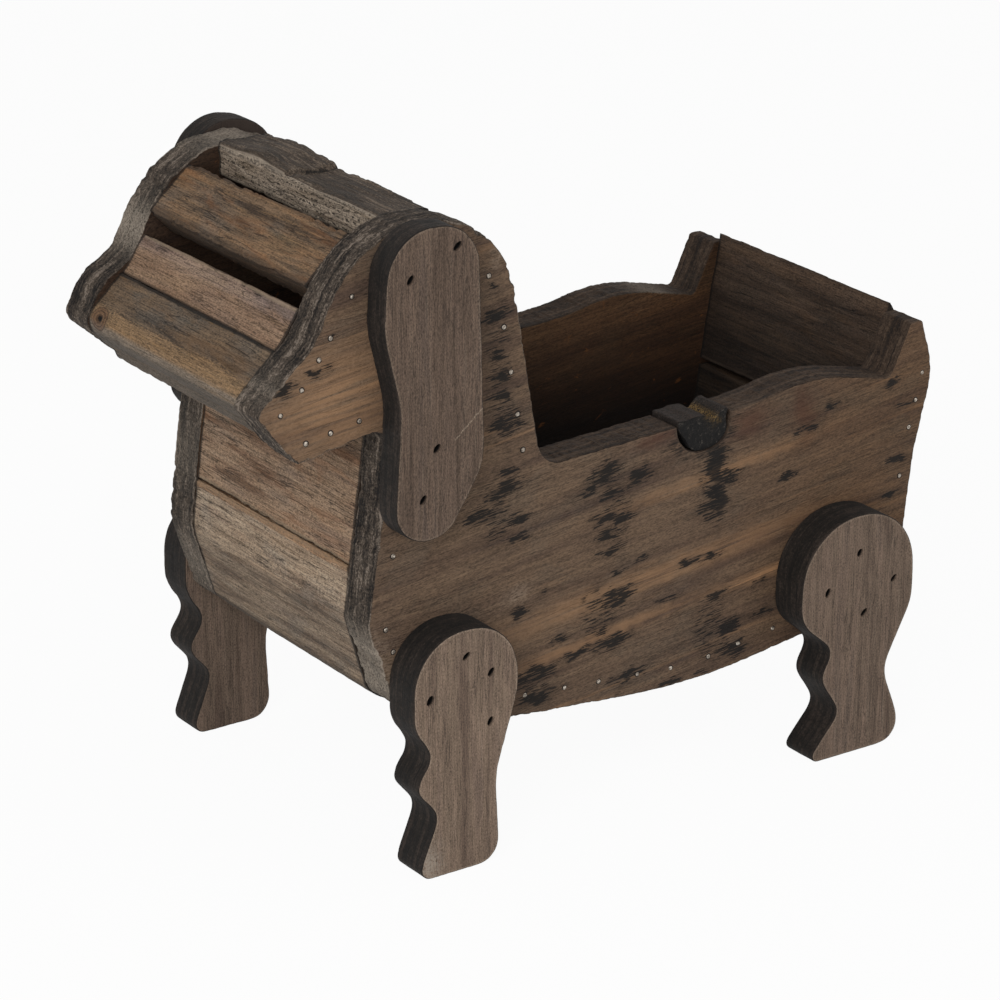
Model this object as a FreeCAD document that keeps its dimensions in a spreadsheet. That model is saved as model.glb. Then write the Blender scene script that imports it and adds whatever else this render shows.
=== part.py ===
"""Dog-shaped wooden planter: side boards with cross slats nailed between them, legs and ears nailed on.

Millimetres. +Z is up and the dog looks along -X; its left side faces -Y. The origin lies on the ground,
midway along the length and the width. Outlines are drawn in the XZ plane, x measured back from the nose.
"""
import FreeCAD, Part
import math
import os
from types import SimpleNamespace

import Sketcher

# Driving dimensions; radii end in _r, the rest are lengths
SIZES = {
    # boards
    "side_thickness": 20.0,
    "inner_width": 130.0,
    "leg_thickness": 20.0,
    "ear_thickness": 14.0,
    "origin_from_nose": 186.2,
    # side board: head
    "nose_r": 4.0,
    "chin_run": 20.0,
    "chin_rise": 26.5,
    "chin_r": 6.0,
    "nose_rise": 26.0,
    "bend_run": 28.5,
    "bend_rise": 25.0,
    "bend_r": 9.0,
    "right_muzzle_run": 11.5,
    "right_muzzle_drop": 10.5,
    "right_muzzle_r": 9.0,
    "right_nose_run": 3.2,
    "right_nose_drop": 3.0,
    "right_nose_r": 6.0,
    "right_chin_run": 28.0,
    "right_chin_lift": 1.5,
    "right_chin_r": 8.0,
    "forehead_run": 23.3,
    "crown_rise": 46.5,
    "brow_r": 51.5,
    "crown_run": 72.8,
    "nape_drop": 1.2,
    "nape_r": 48.5,
    "nape_run": 22.5,
    "collar_r": 12.0,
    # side board: rim and tail
    "rim_run": 115.9,
    "rim_rise": 5.5,
    "rim_r": 120.0,
    "hump_run": 38.5,
    "hump_rise": 7.0,
    "hump_r": 90.0,
    "hump_fall_run": 44.0,
    "hump_fall": 10.0,
    "tail_notch_r": 3.0,
    "tail_run": 11.5,
    "tail_rise": 25.0,
    "tail_tip_r": 2.5,
    "tail_tip": 7.5,
    "rump_swell": 8.0,
    "rump_drop": 26.0,
    "rump_r": 40.0,
    "rump_tuck": 9.5,
    "rump_fall": 37.0,
    "rump_tuck_r": 60.0,
    "haunch_run": 8.5,
    "haunch_rise": 17.0,
    "haunch_r": 9.0,
    # side board: belly and chest
    "belly_height": 48.0,
    "side_height": 125.5,
    "belly_run": 135.0,
    "belly_r": 300.0,
    "keel_run": 29.5,
    "keel_rise": 11.0,
    "keel_r": 12.0,
    "breast_run": 12.5,
    "breast_rise": 19.5,
    "breast_r": 12.0,
    "chest_from_nose": 55.5,
    "chest_rise": 37.5,
    "chest_r": 18.0,
    "throat_run": 12.0,
    "throat_rise": 8.5,
    "throat_r": 8.0,
    # cross slats, all along Y
    "slat_setback": 0.6,
    "nose_slat_width": 28.0,
    "nose_slat_depth": 18.0,
    "nose_slat_inset": 1.2,
    "nose_slat_r": 9.0,
    "slat_seam": 0.4,
    "bridge_slat_reach": 12.5,
    "bridge_slat_depth": 14.0,
    "brow_reach_crown": 13.0,
    "brow_reach_forehead": 24.0,
    "brow_slat_start": 8.4,
    "brow_slat_width": 29.5,
    "brow_slat_setback": 1.3,
    "head_slat_depth": 16.0,
    "crown_slat_start": 23.6,
    "crown_slat_width": 27.0,
    "nape_reach_back": 30.0,
    "nape_reach_crown": 24.0,
    "nape_slat_start": 2.0,
    "nape_slat_width": 26.0,
    "nape_slat_setback": 0.8,
    "collar_slat_start": 3.0,
    "collar_slat_width": 35.0,
    "back_slat_width": 43.0,
    "board_gap": 1.0,
    "chin_slat_width": 42.0,
    "chin_slat_depth": 13.0,
    "chin_slat_r": 3.0,
    "chin_slat_recess": 4.5,
    "chin_slat_start": 1.0,
    "chin_slat_setback": 3.5,
    "upper_chest_start": 5.5,
    "upper_chest_width": 64.5,
    "chest_slat_depth": 16.0,
    "lower_chest_under": 14.0,
    "lower_chest_proud": 0.8,
    "lower_chest_tip": 7.7,
    "bottom_board_depth": 16.0,
    "bottom_board_setback": 2.0,
    "bottom_board_gap": 3.0,
    "rear_board_depth": 13.0,
    "rump_board_setback": 2.2,
    "tail_board_rise": 4.5,
    "tail_board_lip": 3.5,
    # front legs: x from the middle of the thigh, shares of the height
    "left_front_leg_from_nose": 93.5,
    "right_front_leg_from_nose": 91.0,
    "front_leg_height": 115.5,
    "front_thigh_half": 27.5,
    "front_thigh_r": 26.0,
    "front_thigh_back_share": 0.6926,
    "front_thigh_back_r": 20.0,
    "front_calf_x": 16.0,
    "front_calf_share": 0.3636,
    "front_calf_r": 40.0,
    "front_heel_x": 18.5,
    "front_heel_r": 4.0,
    "front_toe_x": 26.0,
    "front_toe_r": 5.0,
    "front_ankle_x": 14.5,
    "front_ankle_share": 0.2597,
    "front_ankle_r": 6.0,
    "front_knee_x": 27.5,
    "front_knee_share": 0.3896,
    "front_knee_r": 6.0,
    "front_notch_x": 17.5,
    "front_notch_share": 0.5065,
    "front_notch_r": 6.0,
    "front_thigh_front_share": 0.6407,
    "front_thigh_front_r": 12.0,
    # rear legs: x from the middle of the thigh, shares of the height
    "rear_leg_from_haunch": 39.8,
    "rear_leg_height": 120.5,
    "rear_thigh_half": 33.5,
    "rear_thigh_r": 32.0,
    "rear_thigh_back_share": 0.5892,
    "rear_thigh_back_r": 16.0,
    "rear_calf_x": 17.5,
    "rear_calf_share": 0.3237,
    "rear_calf_r": 14.0,
    "rear_heel_top_z": 12.0,
    "rear_heel_top_r": 6.0,
    "rear_heel_x": 28.0,
    "rear_heel_r": 4.0,
    "rear_toe_x": 28.0,
    "rear_toe_r": 3.5,
    "rear_ankle_x": 8.5,
    "rear_ankle_share": 0.1909,
    "rear_ankle_r": 5.0,
    "rear_knee_x": 21.0,
    "rear_knee_share": 0.3527,
    "rear_knee_r": 5.0,
    "rear_notch_x": 13.5,
    "rear_notch_share": 0.4606,
    "rear_notch_r": 5.0,
    "rear_thigh_front_share": 0.6058,
    "rear_thigh_front_r": 15.0,
    # ears: the middle of the top, how far the lobe lies ahead of it, shares of the length
    "left_ear_from_nose": 81.4,
    "left_ear_rise": 3.0,
    "left_ear_lean": 0.0,
    "right_ear_from_nose": 95.5,
    "right_ear_rise": 4.2,
    "right_ear_lean": 11.0,
    "ear_length": 142.3,
    "ear_back_top_x": 21.5,
    "ear_back_top_drop": 3.8,
    "ear_back_top_r": 21.0,
    "ear_front_top_x": 23.5,
    "ear_front_top_r": 23.0,
    "ear_brow_x": 26.6,
    "ear_brow_share": 0.318,
    "ear_brow_r": 50.0,
    "ear_waist_x": 18.0,
    "ear_waist_share": 0.561,
    "ear_waist_r": 42.0,
    "ear_lobe_front_x": 21.3,
    "ear_lobe_front_r": 16.0,
    "ear_lobe_x": 6.2,
    "ear_lobe_r": 16.5,
    "ear_lobe_back_x": 25.3,
    "ear_lobe_back_share": 0.789,
    "ear_lobe_back_r": 32.0,
    # dead knot let into the rim of the left side board
    "knot_from_collar": 89.8,
    "knot_height": 4.5,
    "knot_r": 15.0,
    "knot_fit": 0.2,
    # nails through the side boards, brads through legs and ears
    "nail_r": 0.8,
    "nail_head_r": 1.5,
    "nail_head_depth": 0.8,
    "nail_bite": 18.0,
    "nail_fit": 0.1,
    "brad_r": 0.8,
    "brad_sink": 2.5,
    "brad_bite": 12.0,
}

# Brads of one leg and of one ear: how far across from its middle, and the share of its length from the top
BRADS = {
    "front_leg": ((0.0, 0.111), (13.2, 0.203), (-18.9, 0.255), (12.9, 0.406)),
    "rear_leg": ((0.4, 0.157), (21.8, 0.302), (-17.9, 0.29), (4.5, 0.413)),
    "ear": ((10.8, 0.087), (-12.9, 0.164), (0.5, 0.709), (-6.5, 0.864)),
}
for piece, places in BRADS.items():
    for number, (across, share) in enumerate(places):
        SIZES[f"{piece}_brad_{number}_across"] = across
        SIZES[f"{piece}_brad_{number}_share"] = share

# Shares of a board's reach at which nails stand
CHIN_NAIL_SHARES = (0.15, 0.45, 0.8)
CHEST_NAIL_SHARES = (0.1, 0.4, 0.85)
TAIL_NAIL_SHARES = (0.25, 0.6, 0.95)
# The knot's round underside against its half-width, and the bottom boards on each stretch of the belly
KNOT_ROUNDNESS = 0.9
BOARDS_PER_RUN = 3

SHEET = "Sizes"
ORIGIN = (-1, 1)
X_AXIS = -1
Z_AXIS = -2


class Size:
    """A length with its value and the expression that binds it to the sheet."""

    def __init__(self, value, text):
        self.value = value
        self.text = text

    @staticmethod
    def of(thing):
        return thing if isinstance(thing, Size) else Size(float(thing), repr(float(thing)))

    def _join(self, other, sign, value):
        return Size(value, f"({self.text} {sign} {other.text})")

    def __add__(self, other):
        other = Size.of(other)
        return self._join(other, "+", self.value + other.value)

    def __sub__(self, other):
        other = Size.of(other)
        return self._join(other, "-", self.value - other.value)

    def __mul__(self, other):
        other = Size.of(other)
        return self._join(other, "*", self.value * other.value)

    def __truediv__(self, other):
        other = Size.of(other)
        return self._join(other, "/", self.value / other.value)

    def __neg__(self):
        return Size(-self.value, f"(-{self.text})")


def point(x, z):
    return SimpleNamespace(x=Size.of(x), z=Size.of(z))


def distance(p, q):
    """Length of the straight line from p to q."""
    dx = q.x - p.x
    dz = q.z - p.z
    return Size(math.hypot(dx.value, dz.value), f"hypot({dx.text}; {dz.text})")


def beside(p, q, along, inward):
    """The point at a distance along the line from p to q, moved to the left of that line."""
    length = distance(p, q)
    ux = (q.x - p.x) / length
    uz = (q.z - p.z) / length
    return point(p.x + ux * along - uz * inward, p.z + uz * along + ux * inward)


doc = FreeCAD.newDocument("DogPlanter")
sheet = doc.addObject("Spreadsheet::Sheet", SHEET)
for row, (name, value) in enumerate(SIZES.items(), 1):
    sheet.set(f"A{row}", name)
    sheet.set(f"B{row}", str(value))
    sheet.setAlias(f"B{row}", name)
doc.recompute()
size = SimpleNamespace(**{name: Size(value, f"{SHEET}.{name}") for name, value in SIZES.items()})

side_outer = size.inner_width / 2 + size.side_thickness


class Drawing:
    """A sketch in the XZ plane of a body, with every place in it bound to the sheet."""

    def __init__(self, body, name):
        self.sketch = body.newObject("Sketcher::SketchObject", name)
        planes = [part for part in body.Origin.OriginFeatures if part.Role == "XZ_Plane"]
        self.sketch.AttachmentSupport = [(planes[0], "")]
        self.sketch.MapMode = "FlatFace"
        self.rules = []
        self.texts = []

    def add(self, geometry, construction=False):
        return self.sketch.addGeometry(geometry, construction)

    def rule(self, *terms, to=None):
        """A constraint; with a Size it is dimensional and bound to that Size."""
        self.rules.append(Sketcher.Constraint(*terms, to.value) if to else Sketcher.Constraint(*terms))
        self.texts.append(to.text if to else None)

    def place(self, curve, end, where):
        """Ties one end of a curve to a point."""
        for kind, axis, along in (("DistanceX", Z_AXIS, where.x), ("DistanceY", X_AXIS, where.z)):
            if along.value == 0:
                self.rule("PointOnObject", curve, end, axis)
            else:
                self.rule(kind, *ORIGIN, curve, end, to=along)

    def finish(self):
        self.sketch.addConstraint(self.rules)
        for index, text in enumerate(self.texts):
            if text:
                self.sketch.setExpression(f"Constraints[{index}]", text)
        return self.sketch

    def line(self, start, end, construction=False):
        return self.add(Part.LineSegment(FreeCAD.Vector(*start, 0), FreeCAD.Vector(*end, 0)), construction)

    def outline(self, corners):
        """A closed counter-clockwise outline of (point, radius) corners; no radius leaves a corner sharp.

        Each round corner is an arc tangent to both sides, whose point lies where the two sides would meet.
        """
        count = len(corners)
        places = [(where.x.value, where.z.value) for where, radius in corners]
        arrive, leave, arcs = [], [], []
        for i, (where, radius) in enumerate(corners):
            here = places[i]
            back = [a - b for a, b in zip(places[i - 1], here)]
            ahead = [a - b for a, b in zip(places[(i + 1) % count], here)]
            back = [a / math.hypot(*back) for a in back]
            ahead = [a / math.hypot(*ahead) for a in ahead]
            if radius is None:
                arrive.append(here)
                leave.append(here)
                arcs.append(None)
                continue
            cross = ahead[0] * back[1] - ahead[1] * back[0]
            half = math.acos(sum(a * b for a, b in zip(back, ahead))) / 2
            reach = radius.value / math.tan(half)
            arrive.append(tuple(a + reach * b for a, b in zip(here, back)))
            leave.append(tuple(a + reach * b for a, b in zip(here, ahead)))
            middle = [a + b for a, b in zip(back, ahead)]
            depth = radius.value / math.sin(half) / math.hypot(*middle)
            centre = [a + depth * b for a, b in zip(here, middle)]
            first, last = (arrive[i], leave[i]) if cross > 0 else (leave[i], arrive[i])
            angles = [math.atan2(p[1] - centre[1], p[0] - centre[0]) for p in (first, last)]
            if angles[1] < angles[0]:
                angles[1] += 2 * math.pi
            circle = Part.Circle(FreeCAD.Vector(*centre, 0), FreeCAD.Vector(0, 0, 1), radius.value)
            arcs.append((self.add(Part.ArcOfCircle(circle, *angles)), cross > 0))
        sides = [self.line(leave[i], arrive[(i + 1) % count]) for i in range(count)]
        for i, (where, radius) in enumerate(corners):
            before, after = sides[i - 1], sides[i]
            if radius is None:
                self.rule("Coincident", before, 2, after, 1)
                self.place(after, 1, where)
                continue
            arc, convex = arcs[i]
            self.rule("Tangent", before, 2, arc, 1 if convex else 2)
            self.rule("Tangent", after, 1, arc, 2 if convex else 1)
            self.rule("Radius", arc, to=radius)
            corner = self.add(Part.Point(FreeCAD.Vector(*places[i], 0)), True)
            self.place(corner, 1, where)
            self.rule("PointOnObject", corner, 1, before)
            self.rule("PointOnObject", corner, 1, after)
        return self.finish()

    def circles(self, centres, radius):
        """Equal circles about a list of points."""
        first = None
        for where in centres:
            middle = FreeCAD.Vector(where.x.value, where.z.value, 0)
            ring = self.add(Part.Circle(middle, FreeCAD.Vector(0, 0, 1), radius.value))
            self.place(ring, 3, where)
            if first is None:
                first = ring
                self.rule("Radius", ring, to=radius)
            else:
                self.rule("Equal", first, ring)
        return self.finish()


def new_body(name, face_y):
    """A body whose XZ plane stands at face_y and whose x counts from the nose."""
    body = doc.addObject("PartDesign::Body", name)
    body.setExpression("Placement.Base.x", (-size.origin_from_nose).text)
    body.setExpression("Placement.Base.y", face_y.text)
    return body


def pad(body, sketch, length, towards):
    """A pad towards +1 (+Y), -1 (-Y) or 0 (both ways)."""
    solid = body.newObject("PartDesign::Pad", sketch.Name + "_pad")
    solid.Profile = sketch
    solid.setExpression("Length", length.text)
    solid.Midplane = towards == 0
    solid.Reversed = towards > 0
    sketch.Visibility = False
    return solid


def board(name, corners, face_y, length, towards):
    """A board of one outline, padded from face_y."""
    body = new_body(name + "_blank", face_y)
    sketch = Drawing(body, name + "_outline").outline(corners)
    pad(body, sketch, length, towards)
    return body


def pins(name, centres, face_y, stages, towards):
    """Round pins about a list of centres, of joined stages (start from face_y, radius, length)."""
    bodies = []
    for stage, (start, radius, length) in enumerate(stages):
        body = new_body(f"{name}_stage_{stage}", face_y + start * towards)
        sketch = Drawing(body, f"{name}_centres_{stage}").circles(centres, radius)
        pad(body, sketch, length, towards)
        bodies.append(body)
    if len(bodies) == 1:
        return bodies[0]
    joined = doc.addObject("Part::MultiFuse", name + "_joined")
    joined.Shapes = bodies
    return joined


nodes = []


def keep(shape_object, label):
    """Names a finished sub-part."""
    shape_object.Label = label
    nodes.append(shape_object)


def drilled(label, blank, bores):
    """A finished board: its blank less the bores of the nails that pass through it."""
    tools = doc.addObject("Part::Compound", label + "_bores")
    tools.Links = bores
    cut = doc.addObject("Part::Cut", label + "_drilled")
    cut.Base = blank
    cut.Tool = tools
    keep(cut, label)


# Corners of the side boards, before they are rounded; the right muzzle is blunter and its chin is undercut
rim_z = size.belly_height + size.side_height
chin_z = rim_z + size.chin_rise
nose_z = chin_z + size.nose_rise
crown_z = nose_z + size.bend_rise + size.crown_rise
nose = point(0, nose_z)
chin = point(size.chin_run, chin_z)
throat = point(size.chest_from_nose + size.throat_run, chin_z + size.throat_rise)
breast_x = size.chest_from_nose + size.breast_run
keel = point(breast_x + size.keel_run, size.belly_height + size.keel_rise)
breast = point(breast_x, keel.z + size.breast_rise)
chest = point(size.chest_from_nose, breast.z + size.chest_rise)
belly = point(keel.x + size.belly_run, size.belly_height)
bend = point(size.bend_run, nose_z + size.bend_rise)
brow = point(bend.x + size.forehead_run, crown_z)
nape = point(brow.x + size.crown_run, crown_z - size.nape_drop)
collar = point(nape.x + size.nape_run, rim_z)
rim = point(collar.x + size.rim_run, rim_z + size.rim_rise)
hump = point(rim.x + size.hump_run, rim.z + size.hump_rise)
notch = point(hump.x + size.hump_fall_run, hump.z - size.hump_fall)
tail_front = point(notch.x + size.tail_run, notch.z + size.tail_rise)
tail_back = point(tail_front.x + size.tail_tip, tail_front.z)
rump = point(tail_back.x + size.rump_swell, tail_back.z - size.rump_drop)
tuck = point(rump.x - size.rump_tuck, rump.z - size.rump_fall)
haunch = point(tuck.x - size.haunch_run, size.belly_height + size.haunch_rise)

right_muzzle = point(size.right_muzzle_run, bend.z - size.right_muzzle_drop)
right_nose = point(size.right_nose_run, nose_z - size.right_nose_drop)
right_chin = point(size.right_chin_run, chin_z + size.right_chin_lift)

MUZZLES = {
    "left": [(nose, size.nose_r), (chin, size.chin_r)],
    "right": [(right_muzzle, size.right_muzzle_r), (right_nose, size.right_nose_r), (right_chin, size.right_chin_r)],
}
SIDE_OUTLINE = [
    (throat, size.throat_r),
    (chest, size.chest_r),
    (breast, size.breast_r),
    (keel, size.keel_r),
    (belly, size.belly_r),
    (haunch, size.haunch_r),
    (tuck, size.rump_tuck_r),
    (rump, size.rump_r),
    (tail_back, size.tail_tip_r),
    (tail_front, size.tail_tip_r),
    (notch, size.tail_notch_r),
    (hump, size.hump_r),
    (rim, size.rim_r),
    (collar, size.collar_r),
    (nape, size.nape_r),
    (brow, size.brow_r),
    (bend, size.bend_r),
]

# Cross slats: label, corners of the section, places of the nails, and whether they belong to the head
slats = []


def add_slat(label, corners, nail_places, in_head):
    slats.append(SimpleNamespace(label=label, corners=corners, nails=nail_places, in_head=in_head))


def nail_row(p, q, reach, depth, shares):
    """Places of nails half-way into a board along the line from p to q, at shares of its reach."""
    return [beside(p, q, reach * share, depth / 2) for share in shares]


def plank(label, p, q, start, width, depth, setback, in_head, nail_count=2, front_r=None):
    """A slat of rectangular section whose outer face lies along the line from p to q, set back from it."""
    start, end = Size.of(start), start + width
    corners = [
        (beside(p, q, start, setback), None),
        (beside(p, q, end, setback), front_r),
        (beside(p, q, end, setback + depth), None),
        (beside(p, q, start, setback + depth), None),
    ]
    middle = setback + depth / 2
    places = [beside(p, q, start + width * ((i + 0.5) / nail_count), middle) for i in range(nail_count)]
    add_slat(label, corners, places, in_head)


def head_slats():
    nose_start = distance(bend, nose) - size.nose_slat_inset - size.nose_slat_width
    plank("nose_slat", bend, nose, nose_start, size.nose_slat_width, size.nose_slat_depth,
          size.slat_setback, True, front_r=size.nose_slat_r)

    bridge_top = beside(bend, brow, size.bridge_slat_reach, 0)
    bridge_foot = beside(bend, nose, nose_start - size.slat_seam, size.slat_setback)
    plank("bridge_slat", bridge_top, bridge_foot, Size.of(0), distance(bridge_top, bridge_foot),
          size.bridge_slat_depth, size.slat_setback, True)

    brow_top = beside(brow, nape, size.brow_reach_crown, 0)
    brow_foot = beside(brow, bend, size.brow_reach_forehead, 0)
    plank("brow_slat", brow_top, brow_foot, size.brow_slat_start, size.brow_slat_width,
          size.head_slat_depth, size.brow_slat_setback, True)
    plank("crown_slat", nape, brow, size.crown_slat_start, size.crown_slat_width, size.head_slat_depth,
          size.slat_setback, True)
    nape_foot = beside(nape, collar, size.nape_reach_back, 0)
    nape_top = beside(nape, brow, size.nape_reach_crown, 0)
    plank("nape_slat", nape_foot, nape_top, size.nape_slat_start, size.nape_slat_width,
          size.head_slat_depth, size.nape_slat_setback, True)

    back_start = size.collar_slat_start + size.collar_slat_width + size.board_gap
    plank("collar_slat", collar, nape, size.collar_slat_start, size.collar_slat_width, size.head_slat_depth,
          size.slat_setback, True)
    plank("back_of_head_slat", collar, nape, back_start, size.back_slat_width, size.head_slat_depth,
          size.slat_setback, True)

    under_nose = size.nose_slat_depth + size.slat_setback + size.slat_seam
    chin_depth = size.chin_slat_setback + size.chin_slat_depth
    chin_corners = [
        (beside(nose, chin, under_nose, size.chin_slat_recess), None),
        (beside(chin, throat, size.chin_slat_start, size.chin_slat_setback), size.chin_slat_r),
        (beside(chin, throat, size.chin_slat_width, size.chin_slat_setback), None),
        (beside(chin, throat, size.chin_slat_width, chin_depth), None),
    ]
    add_slat("chin_slat", chin_corners,
             nail_row(chin, throat, size.chin_slat_width, chin_depth, CHIN_NAIL_SHARES), True)


def chest_slats():
    plank("upper_chest_slat", throat, chest, size.upper_chest_start, size.upper_chest_width,
          size.chest_slat_depth, size.slat_setback, False, nail_count=3)
    top = size.upper_chest_start + size.upper_chest_width + size.slat_seam
    depth = size.slat_setback + size.chest_slat_depth
    corners = [
        (beside(throat, chest, top, size.slat_setback), None),
        (beside(throat, chest, distance(throat, chest), size.slat_setback), size.chest_r),
        (beside(breast, keel, Size.of(0), -size.lower_chest_proud), size.breast_r),
        (beside(breast, keel, size.lower_chest_under, -size.lower_chest_proud), None),
        (beside(breast, keel, size.lower_chest_under, size.lower_chest_tip), None),
        (beside(throat, chest, top, depth), None),
    ]
    add_slat("lower_chest_slat", corners,
             nail_row(chest, breast, distance(chest, breast), depth, CHEST_NAIL_SHARES), False)


def bottom_boards():
    """Three boards along each of the two straight stretches of the belly."""
    gap = size.bottom_board_gap
    runs = ((keel, belly, size.keel_r, gap), (belly, haunch, gap, size.haunch_r))
    for run, (p, q, first_gap, last_gap) in enumerate(runs):
        between = gap * (BOARDS_PER_RUN - 1)
        width = (distance(p, q) - first_gap - last_gap - between) / BOARDS_PER_RUN
        for place in range(BOARDS_PER_RUN):
            start = first_gap + (width + gap) * place
            plank(f"bottom_board_{run * BOARDS_PER_RUN + place + 1}", p, q, start, width,
                  size.bottom_board_depth, size.bottom_board_setback, False)


def rear_boards():
    start = size.bottom_board_depth + size.bottom_board_setback + size.bottom_board_gap
    width = distance(haunch, tuck) - start - size.slat_seam
    plank("rear_board", haunch, tuck, start, width, size.rear_board_depth, size.slat_setback, False)
    depth = size.slat_setback + size.rear_board_depth
    corners = [
        (beside(tuck, rump, size.slat_seam, size.slat_setback), None),
        (beside(tuck, rump, distance(tuck, rump), size.rump_board_setback), None),
        (point(tail_back.x - size.slat_setback, tail_back.z), None),
        (point(tail_back.x - size.tail_board_lip, tail_back.z + size.tail_board_rise), None),
        (beside(tuck, rump, size.slat_seam, depth), None),
    ]
    add_slat("tail_board", corners,
             nail_row(tuck, rump, distance(tuck, rump), depth, TAIL_NAIL_SHARES), False)


def leg_outline(middle_x, height, name):
    """Corners of a leg, counter-clockwise from the toe; the front edge has a thigh, a knee and a toe."""
    def part(key):
        return getattr(size, f"{name}_{key}")

    def up(key):
        return height * part(key + "_share")

    def ahead(key, z):
        return point(middle_x - part(key + "_x"), z)

    def behind(key, z):
        return point(middle_x + part(key + "_x"), z)

    front_x = middle_x - part("thigh_half")
    back_x = middle_x + part("thigh_half")
    heel = [(behind("heel", 0), part("heel_r"))]
    if name == "rear":
        heel.append((behind("heel", part("heel_top_z")), part("heel_top_r")))
    return [
        (ahead("toe", 0), part("toe_r")),
        *heel,
        (behind("calf", up("calf")), part("calf_r")),
        (point(back_x, up("thigh_back")), part("thigh_back_r")),
        (point(back_x, height), part("thigh_r")),
        (point(front_x, height), part("thigh_r")),
        (point(front_x, up("thigh_front")), part("thigh_front_r")),
        (ahead("notch", up("notch")), part("notch_r")),
        (ahead("knee", up("knee")), part("knee_r")),
        (ahead("ankle", up("ankle")), part("ankle_r")),
    ]


def ear_outline(hang):
    """Corners of an ear, counter-clockwise from the front of its lobe; the front edge is waisted."""
    return [
        (hang(-size.ear_lobe_front_x, size.ear_length), size.ear_lobe_front_r),
        (hang(size.ear_lobe_x, size.ear_length), size.ear_lobe_r),
        (hang(size.ear_lobe_back_x, size.ear_length * size.ear_lobe_back_share), size.ear_lobe_back_r),
        (hang(size.ear_back_top_x, size.ear_back_top_drop), size.ear_back_top_r),
        (hang(-size.ear_front_top_x, Size.of(0)), size.ear_front_top_r),
        (hang(-size.ear_brow_x, size.ear_length * size.ear_brow_share), size.ear_brow_r),
        (hang(-size.ear_waist_x, size.ear_length * size.ear_waist_share), size.ear_waist_r),
    ]


def knot_outline(fit, height):
    """Section of the knot in the rim, or of its notch: flat on top, round below."""
    middle = beside(collar, rim, size.knot_from_collar, 0)
    half = size.knot_r + fit
    left, right = middle.x - half, middle.x + half
    low, high = middle.z - half, middle.z + height
    round_r = size.knot_r * KNOT_ROUNDNESS
    return [
        (point(left, high), None),
        (point(left, low), round_r),
        (point(right, low), round_r),
        (point(right, high), None),
    ]


head_slats()
chest_slats()
bottom_boards()
rear_boards()



def hanging(top, foot):
    """Places on a limb that hangs from top towards foot, from how far across and how far down they are."""
    def hang(across, down):
        return beside(top, foot, down, across)

    return hang


def limbs(side):
    """The legs and the ear of one side: name, outline, thickness and the places of the brads."""
    front_leg_x = getattr(size, side + "_front_leg_from_nose")
    rear_leg_x = haunch.x - size.rear_leg_from_haunch
    front_height, rear_height = size.front_leg_height, size.rear_leg_height
    ear_top = point(getattr(size, side + "_ear_from_nose"), crown_z + getattr(size, side + "_ear_rise"))
    ear_foot = point(ear_top.x - getattr(size, side + "_ear_lean"), ear_top.z - size.ear_length)
    hang_front = hanging(point(front_leg_x, front_height), point(front_leg_x, 0))
    hang_rear = hanging(point(rear_leg_x, rear_height), point(rear_leg_x, 0))
    hang_ear = hanging(ear_top, ear_foot)
    front_leg = leg_outline(front_leg_x, front_height, "front")
    rear_leg = leg_outline(rear_leg_x, rear_height, "rear")
    return (
        ("front_leg", front_leg, size.leg_thickness, brad_places("front_leg", hang_front, front_height)),
        ("rear_leg", rear_leg, size.leg_thickness, brad_places("rear_leg", hang_rear, rear_height)),
        ("ear", ear_outline(hang_ear), size.ear_thickness, brad_places("ear", hang_ear, size.ear_length)),
    )


def brad_places(limb, hang, length):
    places = []
    for i in range(len(BRADS[limb])):
        across = getattr(size, f"{limb}_brad_{i}_across")
        share = getattr(size, f"{limb}_brad_{i}_share")
        places.append(hang(across, length * share))
    return places



slat_bores = []
for side, outward in (("left", -1), ("right", 1)):
    inward = -outward
    outer_face = side_outer * outward

    bores = []
    nail_length = size.side_thickness + size.nail_bite
    for group, in_head in (("head", True), ("body", False)):
        places = [place for slat in slats if slat.in_head == in_head for place in slat.nails]
        head = (Size.of(0), size.nail_head_r, size.nail_head_depth)
        shank = (size.nail_head_depth, size.nail_r, nail_length - size.nail_head_depth)
        label = f"{side}_{group}_nails"
        keep(pins(label, places, outer_face, (head, shank), inward), label)
        recess = (Size.of(0), size.nail_head_r + size.nail_fit, size.nail_head_depth)
        bore = (Size.of(0), size.nail_r + size.nail_fit, nail_length)
        bores.append(pins(f"{side}_{group}_bores", places, outer_face, (recess, bore), inward))
    slat_bores += bores
    side_bores = list(bores)

    for limb, corners, thickness, places in limbs(side):
        label = f"{side}_{limb}"
        limb_face = outer_face + thickness * outward
        reach = thickness + size.brad_bite
        brad = (size.brad_sink, size.brad_r, reach - size.brad_sink)
        keep(pins(label + "_brads", places, limb_face, (brad,), inward), label + "_brads")
        bore = (Size.of(0), size.brad_r + size.nail_fit, reach)
        hole = pins(label + "_brad_holes", places, limb_face, (bore,), inward)
        drilled(label, board(label, corners, outer_face, thickness, outward), [hole])
        side_bores.append(hole)

    if side == "left":
        knot = knot_outline(Size.of(0), size.knot_height)
        keep(board("left_rim_knot", knot, outer_face, size.side_thickness, inward), "left_rim_knot")
        notch_section = knot_outline(size.knot_fit, size.knot_r)
        side_bores.append(board("left_knot_notch", notch_section, outer_face, size.side_thickness, inward))
    blank = board(f"{side}_side", MUZZLES[side] + SIDE_OUTLINE, outer_face, size.side_thickness, inward)
    drilled(f"{side}_side_board", blank, side_bores)

for slat in slats:
    blank = board(slat.label, slat.corners, Size.of(0), size.inner_width, 0)
    drilled(slat.label, blank, slat_bores)

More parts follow.
